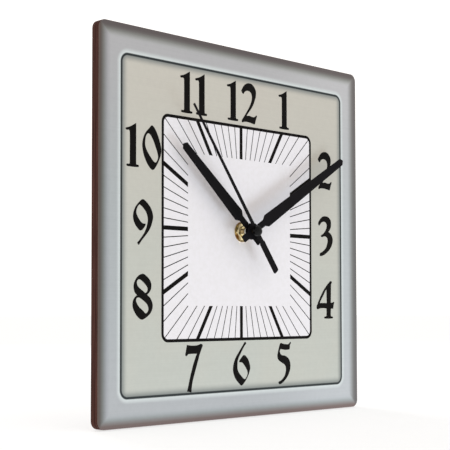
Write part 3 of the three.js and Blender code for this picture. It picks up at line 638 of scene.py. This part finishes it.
FIVE = ("""
    41.5 -78.8, 43.2 -79.2, 45.2 -79.6, 47.2 -79.8, 49.2 -79.9, 50.4 -79.3, 51.4 -78.4,
    52.1 -78.2, 52.3 -78.9, 51.5 -80, 51.2 -81.3, 50.8 -83.5!, 49.2 -83.6, 47.2 -83.7,
    45.2 -83.6, 43.2 -83.3, 41.4 -83.1, 40.5 -83.5, 40.15 -84.4, 40.2 -85.2, 40.5 -86,
    41.2 -86.9, 42.2 -87.5, 43.4 -87.8, 45.2 -88, 47.2 -88.7, 49.2 -89.8, 50.4 -91.1,
    51.3 -92.8, 51.7 -94.8, 51.6 -96.8, 51.2 -98.6, 50.4 -100.3, 49.6 -101.8, 48.2 -103.5,
    46.7 -105, 45.2 -106.1, 43.5 -107.2, 41.7 -108.1, 40.2 -108.4, 39.3 -108.3, 38.8 -107.4,
    39.1 -106.7, 40.2 -106.4, 41.7 -105.8, 43.2 -104.8, 44.7 -103.5, 45.8 -102.1, 46.5 -100.3,
    46.9 -98.3, 46.8 -96.6, 46.3 -95.4, 45.2 -94.3, 43.7 -93.5, 42.2 -92.8, 40.7 -92,
    39.2 -91.1, 38.2 -90, 37.7 -88.8, 37.7 -87.3, 38 -86.1, 38.5 -84.3, 39.1 -82.6, 39.7 -81,
    40.3 -79.7, 40.8 -79.1""",)
SIX = ("""
    3 -77.6, 1.5 -79.4, 0 -81.1, -1.5 -82.8, -3.1 -84.7, -4.6 -86.4, -6 -88.3, -7.1 -90.2,
    -7.9 -92.1, -8.3 -93.8, -8.55 -95.8, -8.3 -97.8, -7.6 -99.8, -6.7 -101.6, -5.4 -103.3,
    -3.9 -104.8, -2.4 -106.1, -1.3 -107, -0.2 -107.5, 0.8 -107.2, 2.2 -106.1, 3.8 -104.6,
    5.3 -102.8, 6.6 -101, 7.6 -99.1, 8.4 -97.2, 8.8 -95.6, 8.6 -94, 8 -92.1, 7.1 -90.2,
    5.8 -88.5, 4.4 -87.2, 3.2 -86.6, 2.2 -86.5, 1.3 -86.9, 0 -88.1, -1.2 -89.2, -2.3 -90.5!,
    -2 -91.1, -0.6 -91.2, 0.9 -91.6, 2.2 -92.7, 3.6 -94.2, 5 -96, 6 -97.8, 6.3 -99.1, 6 -100.6,
    5 -102.1, 4.1 -103, 3.4 -103.4, 2.4 -103.1, 1 -102.1, -0.7 -100.6, -2.3 -99, -3.6 -97.2,
    -4.2 -95.2, -4.2 -93.3, -4.1 -91.1, -3.6 -89.3, -2.7 -87.6, -1.4 -85.8, 0.1 -83.6,
    1.8 -81.3, 3.3 -79.5, 4.7 -78.2, 4.3 -77.5, 3.7 -77.2""",)
SEVEN = ("""
    -52.8 -78.1!, -50.8 -78.5, -48.8 -78.7, -46.8 -78.75, -44.8 -78.7, -42.8 -78.5,
    -41.3 -78.1, -40.2 -77.7, -39.4 -77.7, -38.4 -78.2, -38.2 -78.9, -38.7 -80, -39.3 -81,
    -40.3 -83.1, -41.1 -84.8, -41.8 -86.8, -42.8 -89.5, -44 -92.6, -45.2 -95.8, -46.3 -98.8,
    -47.3 -101.6, -48 -104.1, -48.5 -106.6, -48.65 -108.8, -48.8 -110!, -50.3 -109.5,
    -52.6 -109.1!, -52.1 -107.6, -51.4 -105.3, -50.8 -103, -50 -100.3, -49.1 -97.4,
    -48.1 -94.6, -47.1 -91.8, -46 -89.2, -44.8 -86.6, -43.8 -84.7, -43.3 -84.1!, -44.8 -84,
    -47.8 -84, -50.8 -84.1, -51.8 -84.3, -52.4 -84.8, -53 -85.4, -54 -85.3, -54.3 -84.4,
    -53.9 -82.8, -53.5 -81, -53.1 -79.3""",)
EIGHT = ("""
    -92.1 -31.2, -90.8 -31.6, -89.1 -32.6, -87.3 -34, -85.8 -35.8, -85.1 -37.6, -85 -39.2,
    -85.4 -41, -86.4 -42.6, -87.8 -44, -88.8 -44.8!, -87.3 -45.7, -85.8 -47, -84.7 -48.6,
    -84 -50.3, -83.8 -52, -84.2 -54.1, -85.2 -55.9, -86.6 -57.4, -88.3 -58.7, -90.1 -59.7,
    -91.8 -60.5, -93.1 -60.7, -94.5 -60.4, -96.1 -59.4, -97.7 -58, -99.1 -56.2, -100.3 -54.3,
    -101 -52.1, -101 -50.1, -100.5 -48.3, -99.4 -46.7, -98.1 -45.6, -97.1 -45!, -98.3 -44.1,
    -99.4 -42.7, -100 -41.1, -100.2 -39.5, -100 -37.8, -99.3 -36.1, -98.3 -34.6, -96.8 -33,
    -95.1 -31.9, -93.7 -31.4""", """
    -95.4 -34.6, -94.1 -35, -92.5 -36, -90.8 -37.3, -89.3 -38.7, -88.4 -39.9, -88.1 -41.1,
    -88.4 -42.3, -89.1 -43.1, -90 -43.6, -90.8 -43.3, -92.3 -42.3, -94.1 -41.2, -95.8 -40,
    -97 -38.7, -97.5 -37.3, -97.4 -36, -96.6 -35""", """
    -96 -46.4, -94.8 -46.7, -93.1 -47.6, -91.3 -48.7, -89.6 -49.9, -88.3 -51.2, -87.6 -52.8,
    -87.4 -54.2, -87.8 -55.4, -88.6 -56.4, -89.6 -56.9, -90.5 -56.6, -91.8 -55.4, -93.6 -54.1,
    -95.5 -52.7, -96.9 -51.2, -97.8 -49.7, -98.2 -48.4, -97.8 -47.1, -97 -46.5""")
NINE = ("""
    -91.8 17.3, -90.8 16.8, -89.3 15.8, -87.6 14.4, -86 12.7, -84.8 10.8, -84 8.9, -83.6 7,
    -83.7 5, -84.4 2.7, -85.1 0.7, -86.2 -1.3, -87.5 -3.1, -89 -4.8, -90.8 -6.7, -92.6 -8.5,
    -94.3 -10.4, -95.5 -12, -96 -12.3!, -97.2 -11.3!, -96.8 -10.7, -95.3 -9.3, -93.8 -7.7,
    -92.2 -5.8, -90.8 -4, -89.7 -2, -88.9 0, -88.3 2.2, -88 4.2, -88.3 6.2, -89 8.2, -90.1 10,
    -91.5 11.4, -93.1 12.8, -94.5 13.7, -95.3 14.1!, -96.1 13.4, -97.1 12.2, -97.8 10.7,
    -98.1 9.2, -97.9 7.7, -97.1 6.1, -96 4.6, -94.7 3.2, -93.5 2.2, -92.3 1.6, -91.3 1.5,
    -90 1.45!, -90.5 0.2, -91.5 -1, -92.6 -2.1, -93.8 -2.8, -94.9 -2.9, -96 -2.3, -97.3 -1.1,
    -98.6 0.2, -99.7 2, -100.5 4, -100.8 6, -100.5 8.2, -99.8 10.1, -98.7 12.2, -97.1 14,
    -95.6 15.4, -94.1 16.7, -93 17.3""",)
NOUGHT = ("""
    -84.1 66.5, -83 65.8, -81.8 64.5, -80.3 62.2, -79 59.7, -77.8 56.9, -76.9 54.2, -76.4 51.7,
    -76.5 49.5, -77.1 47, -78.1 44.7, -79.5 42.2, -81 39.9, -82.4 38.2, -83.4 37.5, -84.4 37.4,
    -85.6 38, -87.1 39.4, -88.8 41.4, -90.3 43.9, -91.6 46.5, -92.4 49.2, -92.9 51.9,
    -92.9 54.2, -92.3 57, -91.3 59.5, -90 61.5, -88.5 63.1, -87 64.5, -85.8 65.8, -84.9 66.5""", """
    -87.4 61.2, -86.3 60.7, -85 59.4, -83.5 57.2, -82.3 55, -81.2 52.5, -80 50, -79.3 47.7,
    -79.1 46.1, -79.5 44.5, -80.4 43, -81.5 42.3, -82.6 42.6, -83.8 43.5, -85.3 45.1,
    -87.1 47.1, -88.7 49.2, -90 51.4, -90.6 53.5, -90.6 55.5, -90.3 57.7, -89.7 59.5,
    -88.8 60.7, -88 61.2""")
NUMERALS = {
    "12": [(ONE, 0, 0), (TWO, 0, 0)], "1": [(ONE, 54, -0.4)], "2": [(TWO, 83.8, -41.5)],
    "3": [(THREE, 0, 0)], "4": [(FOUR, 0, 0)], "5": [(FIVE, 0, 0)], "6": [(SIX, 0, 0)],
    "7": [(SEVEN, 0, 0)], "8": [(EIGHT, 0, 0)], "9": [(NINE, 0, 0)],
    "10": [(ONE, -93.1, -40.6), (NOUGHT, 0, 0)], "11": [(ONE, -44.9, 0), (ONE, -30.9, 0)],
}


def ink(name, contours, top=INK_TOP, spread=0.0):
    """A printed shape, as a thin film where the artwork sits on the board."""
    art = Matrix.Translation((ART_X, ART_UP, 0))
    film = plate(name, contours, INK_FOOT, top, spread=spread, pose=art)
    place(film, INK, "clock_body", "print")


for name, glyphs in NUMERALS.items():
    contours = []
    for outlines, dx, dy in glyphs:
        for text in outlines:
            contours.append([(x + dx, y + dy) for x, y in smooth_outline(text)])
    ink("numeral_" + name, contours, spread=INK_SPREAD)


def tick(degrees, width):
    """A line from the inner square to the outline that points at the middle, cut along both."""
    angle = math.radians(degrees)
    along = Vector((math.sin(angle), math.cos(angle)))
    side = Vector((along.y, -along.x)) * width / 2
    axis = 1 if abs(along.y) >= abs(along.x) else 0
    end = TRACK_OUTER - TRACK_LINE / 2
    corners = []
    for square, sign in ((TRACK_INNER, -1), (TRACK_INNER, 1), (end, 1), (end, -1)):
        start = side * sign
        reach = (math.copysign(square, along[axis]) - start[axis]) / along[axis]
        corners.append(tuple(start + along * reach))
    return corners


def track():
    """A thick line at each hour with thin ones between, inside a rounded outline."""
    count = 12 * TICKS_PER_HOUR
    widths = [THIN_TICK if k % TICKS_PER_HOUR else HOUR_TICK for k in range(count)]
    ink("track_lines", [tick(360 * k / count, widths[k]) for k in range(count)], TRACK_TOP)
    line = [rounded_square(TRACK_OUTER + TRACK_LINE / 2, TRACK_CORNER + TRACK_LINE / 2),
            rounded_square(TRACK_OUTER - TRACK_LINE / 2, TRACK_CORNER - TRACK_LINE / 2)]
    ink("track_outline", line)


track()

# ---------- washer, nut and threaded bush ----------

WASHER_OUTER, WASHER_INNER, NUT_BACK = 7.1, 4.15, 24.75
NUT_FLATS, NUT_FRONT, NUT_BORE, NUT_TURN, NUT_SINK = 11.5, 27.75, 4.05, 4.0, 0.35
NUT_RIM = NUT_FLATS / 2 * 0.985
CHAMFER = math.tan(math.radians(28))
BUSH_FRONT, BUSH_BORE = 29.25, 2.6
FLANGE_BACK, FLANGE_FRONT, FLANGE_RADIUS = 13.5, 14.5, 6.0
THREAD_START, THREAD_END, THREAD_FADE = 16.0, BUSH_FRONT - 0.2, 0.4
THREAD_PITCH, THREAD_CREST, THREAD_DEPTH = 0.75, 4.0, 0.4
GASKET_INNER, GASKET_OUTER, GASKET_BACK = 4.3, 10.0, 16.75


def ring_profile(inner, outer, low, high, edge):
    """A ring's section with its corners rounded."""
    corners = [(inner, low), (outer, low), (outer, high), (inner, high)]
    return rounded(corners, edge, 3)


def surface_of_rings(name, rings):
    """A closed tube-like surface through rings of equal count, the last joined to the first."""
    count = len(rings[0])
    verts = [v for ring in rings for v in ring]
    faces = []
    for i in range(len(rings)):
        a, b = i * count, (i + 1) % len(rings) * count
        faces += [(a + k, a + (k + 1) % count, b + (k + 1) % count, b + k) for k in range(count)]
    mesh = bpy.data.meshes.new(name)
    mesh.from_pydata(verts, [], faces)
    mesh.transform(UPRIGHT)
    return weighted(link(name, finish_mesh(mesh)))


def nut():
    """A hexagon nut, its corners cut back by cones at both ends and its bore countersunk."""
    def reach(angle):
        from_flat = (angle - math.radians(NUT_TURN)) % (math.pi / 3) - math.pi / 6
        return NUT_FLATS / 2 / math.cos(from_flat)

    def drop(angle):
        return max(0.0, reach(angle) - NUT_RIM) * CHAMFER

    sections = [
        (NUT_BORE, NUT_BACK + NUT_SINK),
        (NUT_BORE + NUT_SINK, NUT_BACK),
        (NUT_RIM, NUT_BACK),
        (reach, lambda angle: NUT_BACK + 0.12 + drop(angle) * 0.5),
        (reach, lambda angle: NUT_FRONT - 0.06 - drop(angle)),
        (NUT_RIM - 0.04, NUT_FRONT),
        (NUT_BORE + NUT_SINK, NUT_FRONT),
        (NUT_BORE, NUT_FRONT - NUT_SINK),
    ]
    return surface_of_rings("brass_nut", [ring(144, *section) for section in sections])


def crest(level):
    """The thread's radius at a level, as a function of the angle, fading out at both ends."""
    fade = min(1.0, (THREAD_END - level) / THREAD_FADE, (level - THREAD_START) / THREAD_FADE)

    def radius(angle):
        phase = (level / THREAD_PITCH - angle / (2 * math.pi)) % 1.0
        return THREAD_CREST - THREAD_DEPTH * (1 - fade * (1 - abs(2 * phase - 1)))
    return radius


def bush():
    """The bush: a flange, then a real helix round the outside up to the front end."""
    step, root = THREAD_PITCH / 8, THREAD_CREST - THREAD_DEPTH
    count = math.ceil((THREAD_END - THREAD_START) / step)
    levels = [THREAD_START + step * k for k in range(count)]
    sections = [(BUSH_BORE, FLANGE_BACK), (FLANGE_RADIUS, FLANGE_BACK),
                (FLANGE_RADIUS, FLANGE_FRONT), (THREAD_CREST, FLANGE_FRONT),
                (THREAD_CREST, THREAD_START - 0.1)]
    sections += [(crest(level), level) for level in levels]
    sections += [(root, BUSH_FRONT - 0.12), (root - 0.12, BUSH_FRONT),
                 (BUSH_BORE + 0.15, BUSH_FRONT), (BUSH_BORE, BUSH_FRONT - 0.15)]
    return surface_of_rings("threaded_bush_turned", [ring(72, *section) for section in sections])


WASHER = ring_profile(WASHER_INNER, WASHER_OUTER, FACE, NUT_BACK, 0.14)
GASKET = ring_profile(GASKET_INNER, GASKET_OUTER, GASKET_BACK, BOARD_BACK, 0.15)
place(lathe("brass_washer", WASHER, segments=96), BRASS, "clock_body", "brass", "dial_washer")
place(nut(), BRASS, "clock_body", "brass", "hex_nut")
place(bush(), BRASS, "clock_body", "brass", "threaded_bush")
place(lathe("gasket", GASKET), RUBBER, "clock_body", "rubber", "rubber_gasket")

# ---------- hands ----------

SHEET, SHEET_EDGE, TAIL_CORNER, HUB = 0.5, 0.08, 0.8, 5.75
HOUR = {"level": 33.5, "turn": -310.4, "tip": 85.8, "shoulder": 83.8, "root": 16.6, "neck": 13.4,
        "tail": 11.8, "half_root": 4.75, "half_tip": 2.95, "half_neck": 2.4, "half_tail": 3.0}
MINUTE = {"level": 35.75, "turn": -59.5, "tip": 115.2, "shoulder": 113, "root": 16, "neck": 12.6,
          "tail": 12.2, "half_root": 4.6, "half_tip": 2.7, "half_neck": 2.4, "half_tail": 2.6}
SECOND = {"level": 38.5, "turn": -323.7, "tip": 102, "tail": 35, "tail_start": 9, "hub": 3.6,
          "half_root": 1.45, "half_tip": 0.85, "half_neck": 1.9, "half_tail": 2.6}
HOUR_BORE, MINUTE_BORE, MINUTE_FLAT, STEM = 2.53, 1.68, 1.38, 1.53
HOUR_COLLAR, HOUR_COLLAR_BACK, MINUTE_COLLAR, MINUTE_COLLAR_BACK = 3.4, 31.5, 2.8, 35.0


def hub_arc(hub, low_half, high_half):
    """The hub's right side, between the half widths of what leaves it below and above."""
    start = -math.degrees(math.acos(low_half / hub))
    end = math.degrees(math.acos(high_half / hub))
    return arc((0, 0), hub, start, end, 24)


def tail_end(hand):
    """The right side of a tail's end, lowest point first, its corner cut."""
    half, tail = hand["half_tail"], hand["tail"]
    return [(half - TAIL_CORNER, -tail), (half, TAIL_CORNER - tail)]


def mirrored(right):
    """A closed outline from its right side, lowest point first."""
    return right + [(-x, y) for x, y in reversed(right) if abs(x) > 1e-6]


def sheet_hand(name, hand, right, hole):
    """A hand of thin sheet from its right side, turned to where it points."""
    turn = Matrix.Rotation(math.radians(hand["turn"]), 4, "Z")
    outline = rounded(mirrored(right), 0.25, 2)
    level = hand["level"]
    return plate(name, [outline, hole], level, level + SHEET, SHEET_EDGE, pose=turn)


def blade(name, hand, hole):
    """A baton hand: a short tail, a hub, a neck and a blade that narrows to a blunt point."""
    neck = hand["half_neck"]
    right = tail_end(hand) + hub_arc(HUB, hand["half_tail"], neck)
    right += [(neck, hand["neck"]), (hand["half_root"], hand["root"]),
              (hand["half_tip"], hand["shoulder"]), (0, hand["tip"])]
    return sheet_hand(name, hand, right, hole)


def second_blade():
    tail, neck, start = SECOND["half_tail"], SECOND["half_neck"], SECOND["tail_start"]
    right = tail_end(SECOND) + [(tail, -start - 1), (neck, -start)]
    right += hub_arc(SECOND["hub"], neck, SECOND["half_root"])
    right += [(SECOND["half_tip"], SECOND["tip"])]
    return sheet_hand("second_blade", SECOND, right, circle(STEM, steps=48))


def flatted_hole():
    """The minute hand's hole, round with two flats."""
    lean = math.degrees(math.asin(MINUTE_FLAT / MINUTE_BORE))
    right, left = (arc((0, 0), MINUTE_BORE, at - lean, at + lean, 16) for at in (0, 180))
    return right + left


def collar(name, bore, radius, back, hand):
    """A ring pressed to the back of a hand."""
    return lathe(name, ring_profile(bore, radius, back, hand["level"] + 0.05, 0.12))


place(blade("hour_blade", HOUR, circle(HOUR_BORE, steps=64)), PAINT, "hours", "black_paint",
      "hour_hand")
place(blade("minute_blade", MINUTE, flatted_hole()), PAINT, "minutes", "black_paint",
      "minute_hand")
place(second_blade(), PAINT, "seconds", "black_paint", "second_hand")
place(collar("hour_collar", HOUR_BORE, HOUR_COLLAR, HOUR_COLLAR_BACK, HOUR), BRASS, "hours",
      "brass")
place(collar("minute_collar", MINUTE_BORE, MINUTE_COLLAR, MINUTE_COLLAR_BACK, MINUTE), BRASS,
      "minutes", "brass")


def cap():
    """A domed cap with a soft shoulder, on a stem with a blind bore."""
    top, skirt, back, radius, edge, steps = 42.0, 40.4, 39.0, 3.7, 0.15, 12
    stem, stem_back, bore, bore_end = 1.5, 37.25, 0.53, 40.6
    dome = []
    for i in range(steps):
        angle = math.radians(90 * i / steps)
        dome.append((radius * math.cos(angle) ** 0.8, skirt + (top - skirt) * math.sin(angle)))
    profile = [(0.0, bore_end), (bore, bore_end), (bore, stem_back), (stem - edge, stem_back),
               (stem, stem_back + edge), (stem, back), (radius - edge, back),
               (radius, back + edge)] + dome + [(0.0, top)]
    return lathe("centre_cap", profile, segments=96)


place(cap(), CAP, "seconds", "cap_plastic", "second_hand_cap")

# ---------- movement ----------

SETTING_AT = (-16.854, -3.737)
BATTERY_AT = Matrix.Translation((0, -19.2, 7.6)) @ Matrix.Rotation(math.pi / 2, 4, "Y")


def bake(piece):
    """Works a piece's modifiers into its mesh."""
    mesh = evaluated(piece)
    piece.modifiers.clear()
    piece.data = mesh


def engraved(piece, cutter):
    """Takes a cutter's shape out of a piece."""
    bake(piece)
    modifier = piece.modifiers.new("cut", "BOOLEAN")
    modifier.object, modifier.operation, modifier.solver = cutter, "DIFFERENCE", "EXACT"
    bake(piece)
    bpy.data.objects.remove(cutter)
    finish_mesh(piece.data)
    return weighted(piece)


def curved_arrow(at, radius, width, start, end, head):
    """A bent arrow as a flat outline, its head at the end angle."""
    sign = 1 if end > start else -1
    tip = arc(at, radius, end + sign * head, end + sign * head, 1)[:1]
    outer = arc(at, radius + width / 2, start, end, 16)
    inner = arc(at, radius - width / 2, end, start, 16)
    barbs = [arc(at, radius + r, end, end, 1)[0] for r in (width * 1.6, -width * 1.6)]
    return outer + [barbs[0]] + tip + [barbs[1]] + inner


def bar(x, y, width, height):
    return [(x - width / 2, y - height / 2), (x + width / 2, y - height / 2),
            (x + width / 2, y + height / 2), (x - width / 2, y + height / 2)]


def plus(x, y, size, width):
    h, w = size / 2, width / 2
    corners = [(-w, -h), (w, -h), (w, -w), (h, -w), (h, w), (w, w), (w, h), (-w, h), (-w, w),
               (-h, w), (-h, -w), (-w, -w)]
    return [(x + dx, y + dy) for dx, dy in corners]


ENGRAVING = 0.25
ARROW_RADIUS, ARROW_WIDTH, ARROW_HEAD = 7.9, 0.7, 14
SCREWS, SCREW_RADIUS = ((22.5, 22.5), (-22.5, 22.5), (22.5, -6.5)), 1.6
SIGN_X, SIGN_UP, SIGN_SIZE, SIGN_WIDTH = 20.5, -24.2, 3.2, 0.8
SIGN_BACK, SIGN_FRONT = 14.7, 16.5

marks = [curved_arrow(SETTING_AT, ARROW_RADIUS, ARROW_WIDTH, start, end, ARROW_HEAD)
         for start, end in ((200, 290), (160, 70))]
marks += [circle(SCREW_RADIUS, at, 32) for at in SCREWS]
marks += [rounded_square(9.0, 1.0, 4, 4.5, (10, 12))]
signs = [plus(SIGN_X, SIGN_UP, SIGN_SIZE, SIGN_WIDTH), bar(-SIGN_X, SIGN_UP, SIGN_SIZE, SIGN_WIDTH)]

cover = refined("cover_moulding", "rear_cover", 0.15)
place(engraved(cover, plate("marks", marks, -1, ENGRAVING)), BLACK, "clock_body",
      "black_plastic", "rear_cover")
case = refined("case_moulding", "front_case", 0.3)
place(engraved(case, plate("signs", signs, SIGN_BACK, SIGN_FRONT)), BLACK, "clock_body",
      "black_plastic", "front_case")

place(refined("hanger_sheet", "hanger_plate", 0.14), STEEL, "clock_body", "steel", "hanger_plate")
place(refined("plus_contact", "battery_contact_plus", 0.1), STEEL, "clock_body", "steel",
      "battery_contact_plus")
place(refined("minus_contact", "battery_contact_minus", 0.1), STEEL, "clock_body", "steel",
      "battery_contact_minus")


def battery():
    """A cell: rolled rims, a shallow groove under the positive end and a rounded nub."""
    half, radius = 24.55, 7.1
    negative = [(0, 0.1 - half), (5.2, 0.1 - half), (5.6, -half), (6.1, -half),
                (6.3, 0.25 - half), (6.75, 0.28 - half), (7.0, 0.45 - half), (radius, 0.8 - half)]
    groove = [(radius, 22.3), (6.95, 22.55), (6.95, 23.0), (radius, 23.3)]
    positive = [(radius, half - 0.6), (6.95, half - 0.2), (6.6, half), (5.9, half),
                (5.7, half - 0.2), (3.1, half - 0.2)]
    nub = [(2.8, half), (2.7, half + 0.9), (2.4, half + 1.2), (0, half + 1.2)]
    profile = negative + groove + positive + nub
    return lathe("cell", profile, pose=BATTERY_AT, sharp=50)


place(battery(), BATTERY, "clock_body", "battery_jacket", "battery")


def knob():
    """The setting knob: a disc with a fluted rim."""
    flutes, steps, rim, depth, bore, back, front = 24, 10, 4.6, 0.32, 1.23, 0.25, 2.0

    def radius(angle):
        return rim - depth * (0.5 + 0.5 * math.cos(flutes * angle)) ** 1.5

    across, up = SETTING_AT
    outline = [(across + x, up + y) for x, y, _ in ring(flutes * steps, radius, 0)]
    return plate("fluted_knob", [outline, circle(bore, SETTING_AT, 32)], back, front, 0.12)


place(knob(), BLACK, "setting_body", "black_plastic", "setting_knob")

# ---------- camera, light and floor ----------

CAMERA_AT = Vector((-0.59869, -0.59825, -0.05484))
CAMERA_AIM = Vector((0.71086, 0.70175, 0.04710))
CAMERA_ROLL = math.radians(-0.08)

camera = bpy.data.objects.new("camera", bpy.data.cameras.new("camera"))
SCENE.collection.objects.link(camera)
camera.data.lens, camera.data.sensor_width = 94.14, 36.0
camera.data.shift_x, camera.data.shift_y = 0.0014, 0.0652
camera.location = CAMERA_AT
camera.rotation_mode = "QUATERNION"
camera.rotation_quaternion = (CAMERA_AIM.to_track_quat("-Z", "Y").to_matrix()
                              @ Matrix.Rotation(CAMERA_ROLL, 3, "Z")).to_quaternion()
SCENE.camera = camera


def softbox(name, at, size, power, tint=(1, 1, 1)):
    """A round soft light of a size in metres and a power in watts, aimed at the dial's middle."""
    light = bpy.data.objects.new(name, bpy.data.lights.new(name, "AREA"))
    SCENE.collection.objects.link(light)
    light.data.shape, light.data.size = "DISK", size
    light.data.energy, light.data.color = power, tint
    light.location = at
    light.rotation_mode = "QUATERNION"
    light.rotation_quaternion = (-Vector(at)).to_track_quat("-Z", "Y")
    return light


softbox("key", (0.56, -1.12, -0.84), 0.6, 5.2, (0.84, 1.0, 1.16))
softbox("glint", (-0.76, -1.08, -0.65), 0.12, 0.5)
softbox("back", (0.5, 1.3, 0.7), 0.6, 6.0)
softbox("sheen", (0.39, -0.31, -1.31), 0.9, 24.0).visible_diffuse = False

WORLD_FRONT, WORLD_BACK, WORLD_SEEN = 0.765, 0.79, 1.2


def studio_world():
    """A pale surround, a little dimmer before the dial, and white where the camera sees it."""
    world = bpy.data.worlds.new("studio")
    world.use_nodes = True
    nodes, links = world.node_tree.nodes, world.node_tree.links
    direction = nodes.new("ShaderNodeSeparateXYZ")
    links.new(nodes.new("ShaderNodeTexCoord").outputs["Generated"], direction.inputs[0])
    around = nodes.new("ShaderNodeMapRange")
    around.interpolation_type = "SMOOTHSTEP"
    links.new(direction.outputs["Y"], around.inputs["Value"])
    seen = nodes.new("ShaderNodeMapRange")
    links.new(nodes.new("ShaderNodeLightPath").outputs["Is Camera Ray"], seen.inputs["Value"])
    links.new(around.outputs[0], seen.inputs["To Min"])
    for slot, value in (("From Min", -1.0), ("From Max", 0.2), ("To Min", WORLD_FRONT),
                        ("To Max", WORLD_BACK)):
        around.inputs[slot].default_value = value
    seen.inputs["To Max"].default_value = WORLD_SEEN
    background = nodes["Background"]
    background.inputs["Color"].default_value = (1.03, 1.0, 0.97, 1)
    links.new(seen.outputs[0], background.inputs["Strength"])
    SCENE.world = world


studio_world()
SCENE.view_settings.view_transform = "Standard"


def floor():
    """A pale floor just under the clock, lit a little from within so that it stays near white."""
    mesh = bpy.data.meshes.new("floor")
    size, level = 12.0, cad_low.z - 0.0005
    corners = [(x * size, y * size, level) for x, y in ((-1, -1), (1, -1), (1, 1), (-1, 1))]
    mesh.from_pydata(corners, [], [(0, 1, 2, 3)])
    piece = link("floor", mesh)
    paint = Paint("pale_floor", 0.9, Specular_IOR_Level=0.0, Emission_Color=(1, 1, 1, 1),
                  Emission_Strength=0.6)
    grey = paint.mix(paint.noise(40.0), (0.5, 0.5, 0.5, 1), (0.52, 0.52, 0.52, 1))
    mesh.materials.append(paint.finish(grey))
    piece.visible_shadow = piece.visible_diffuse = False


floor()
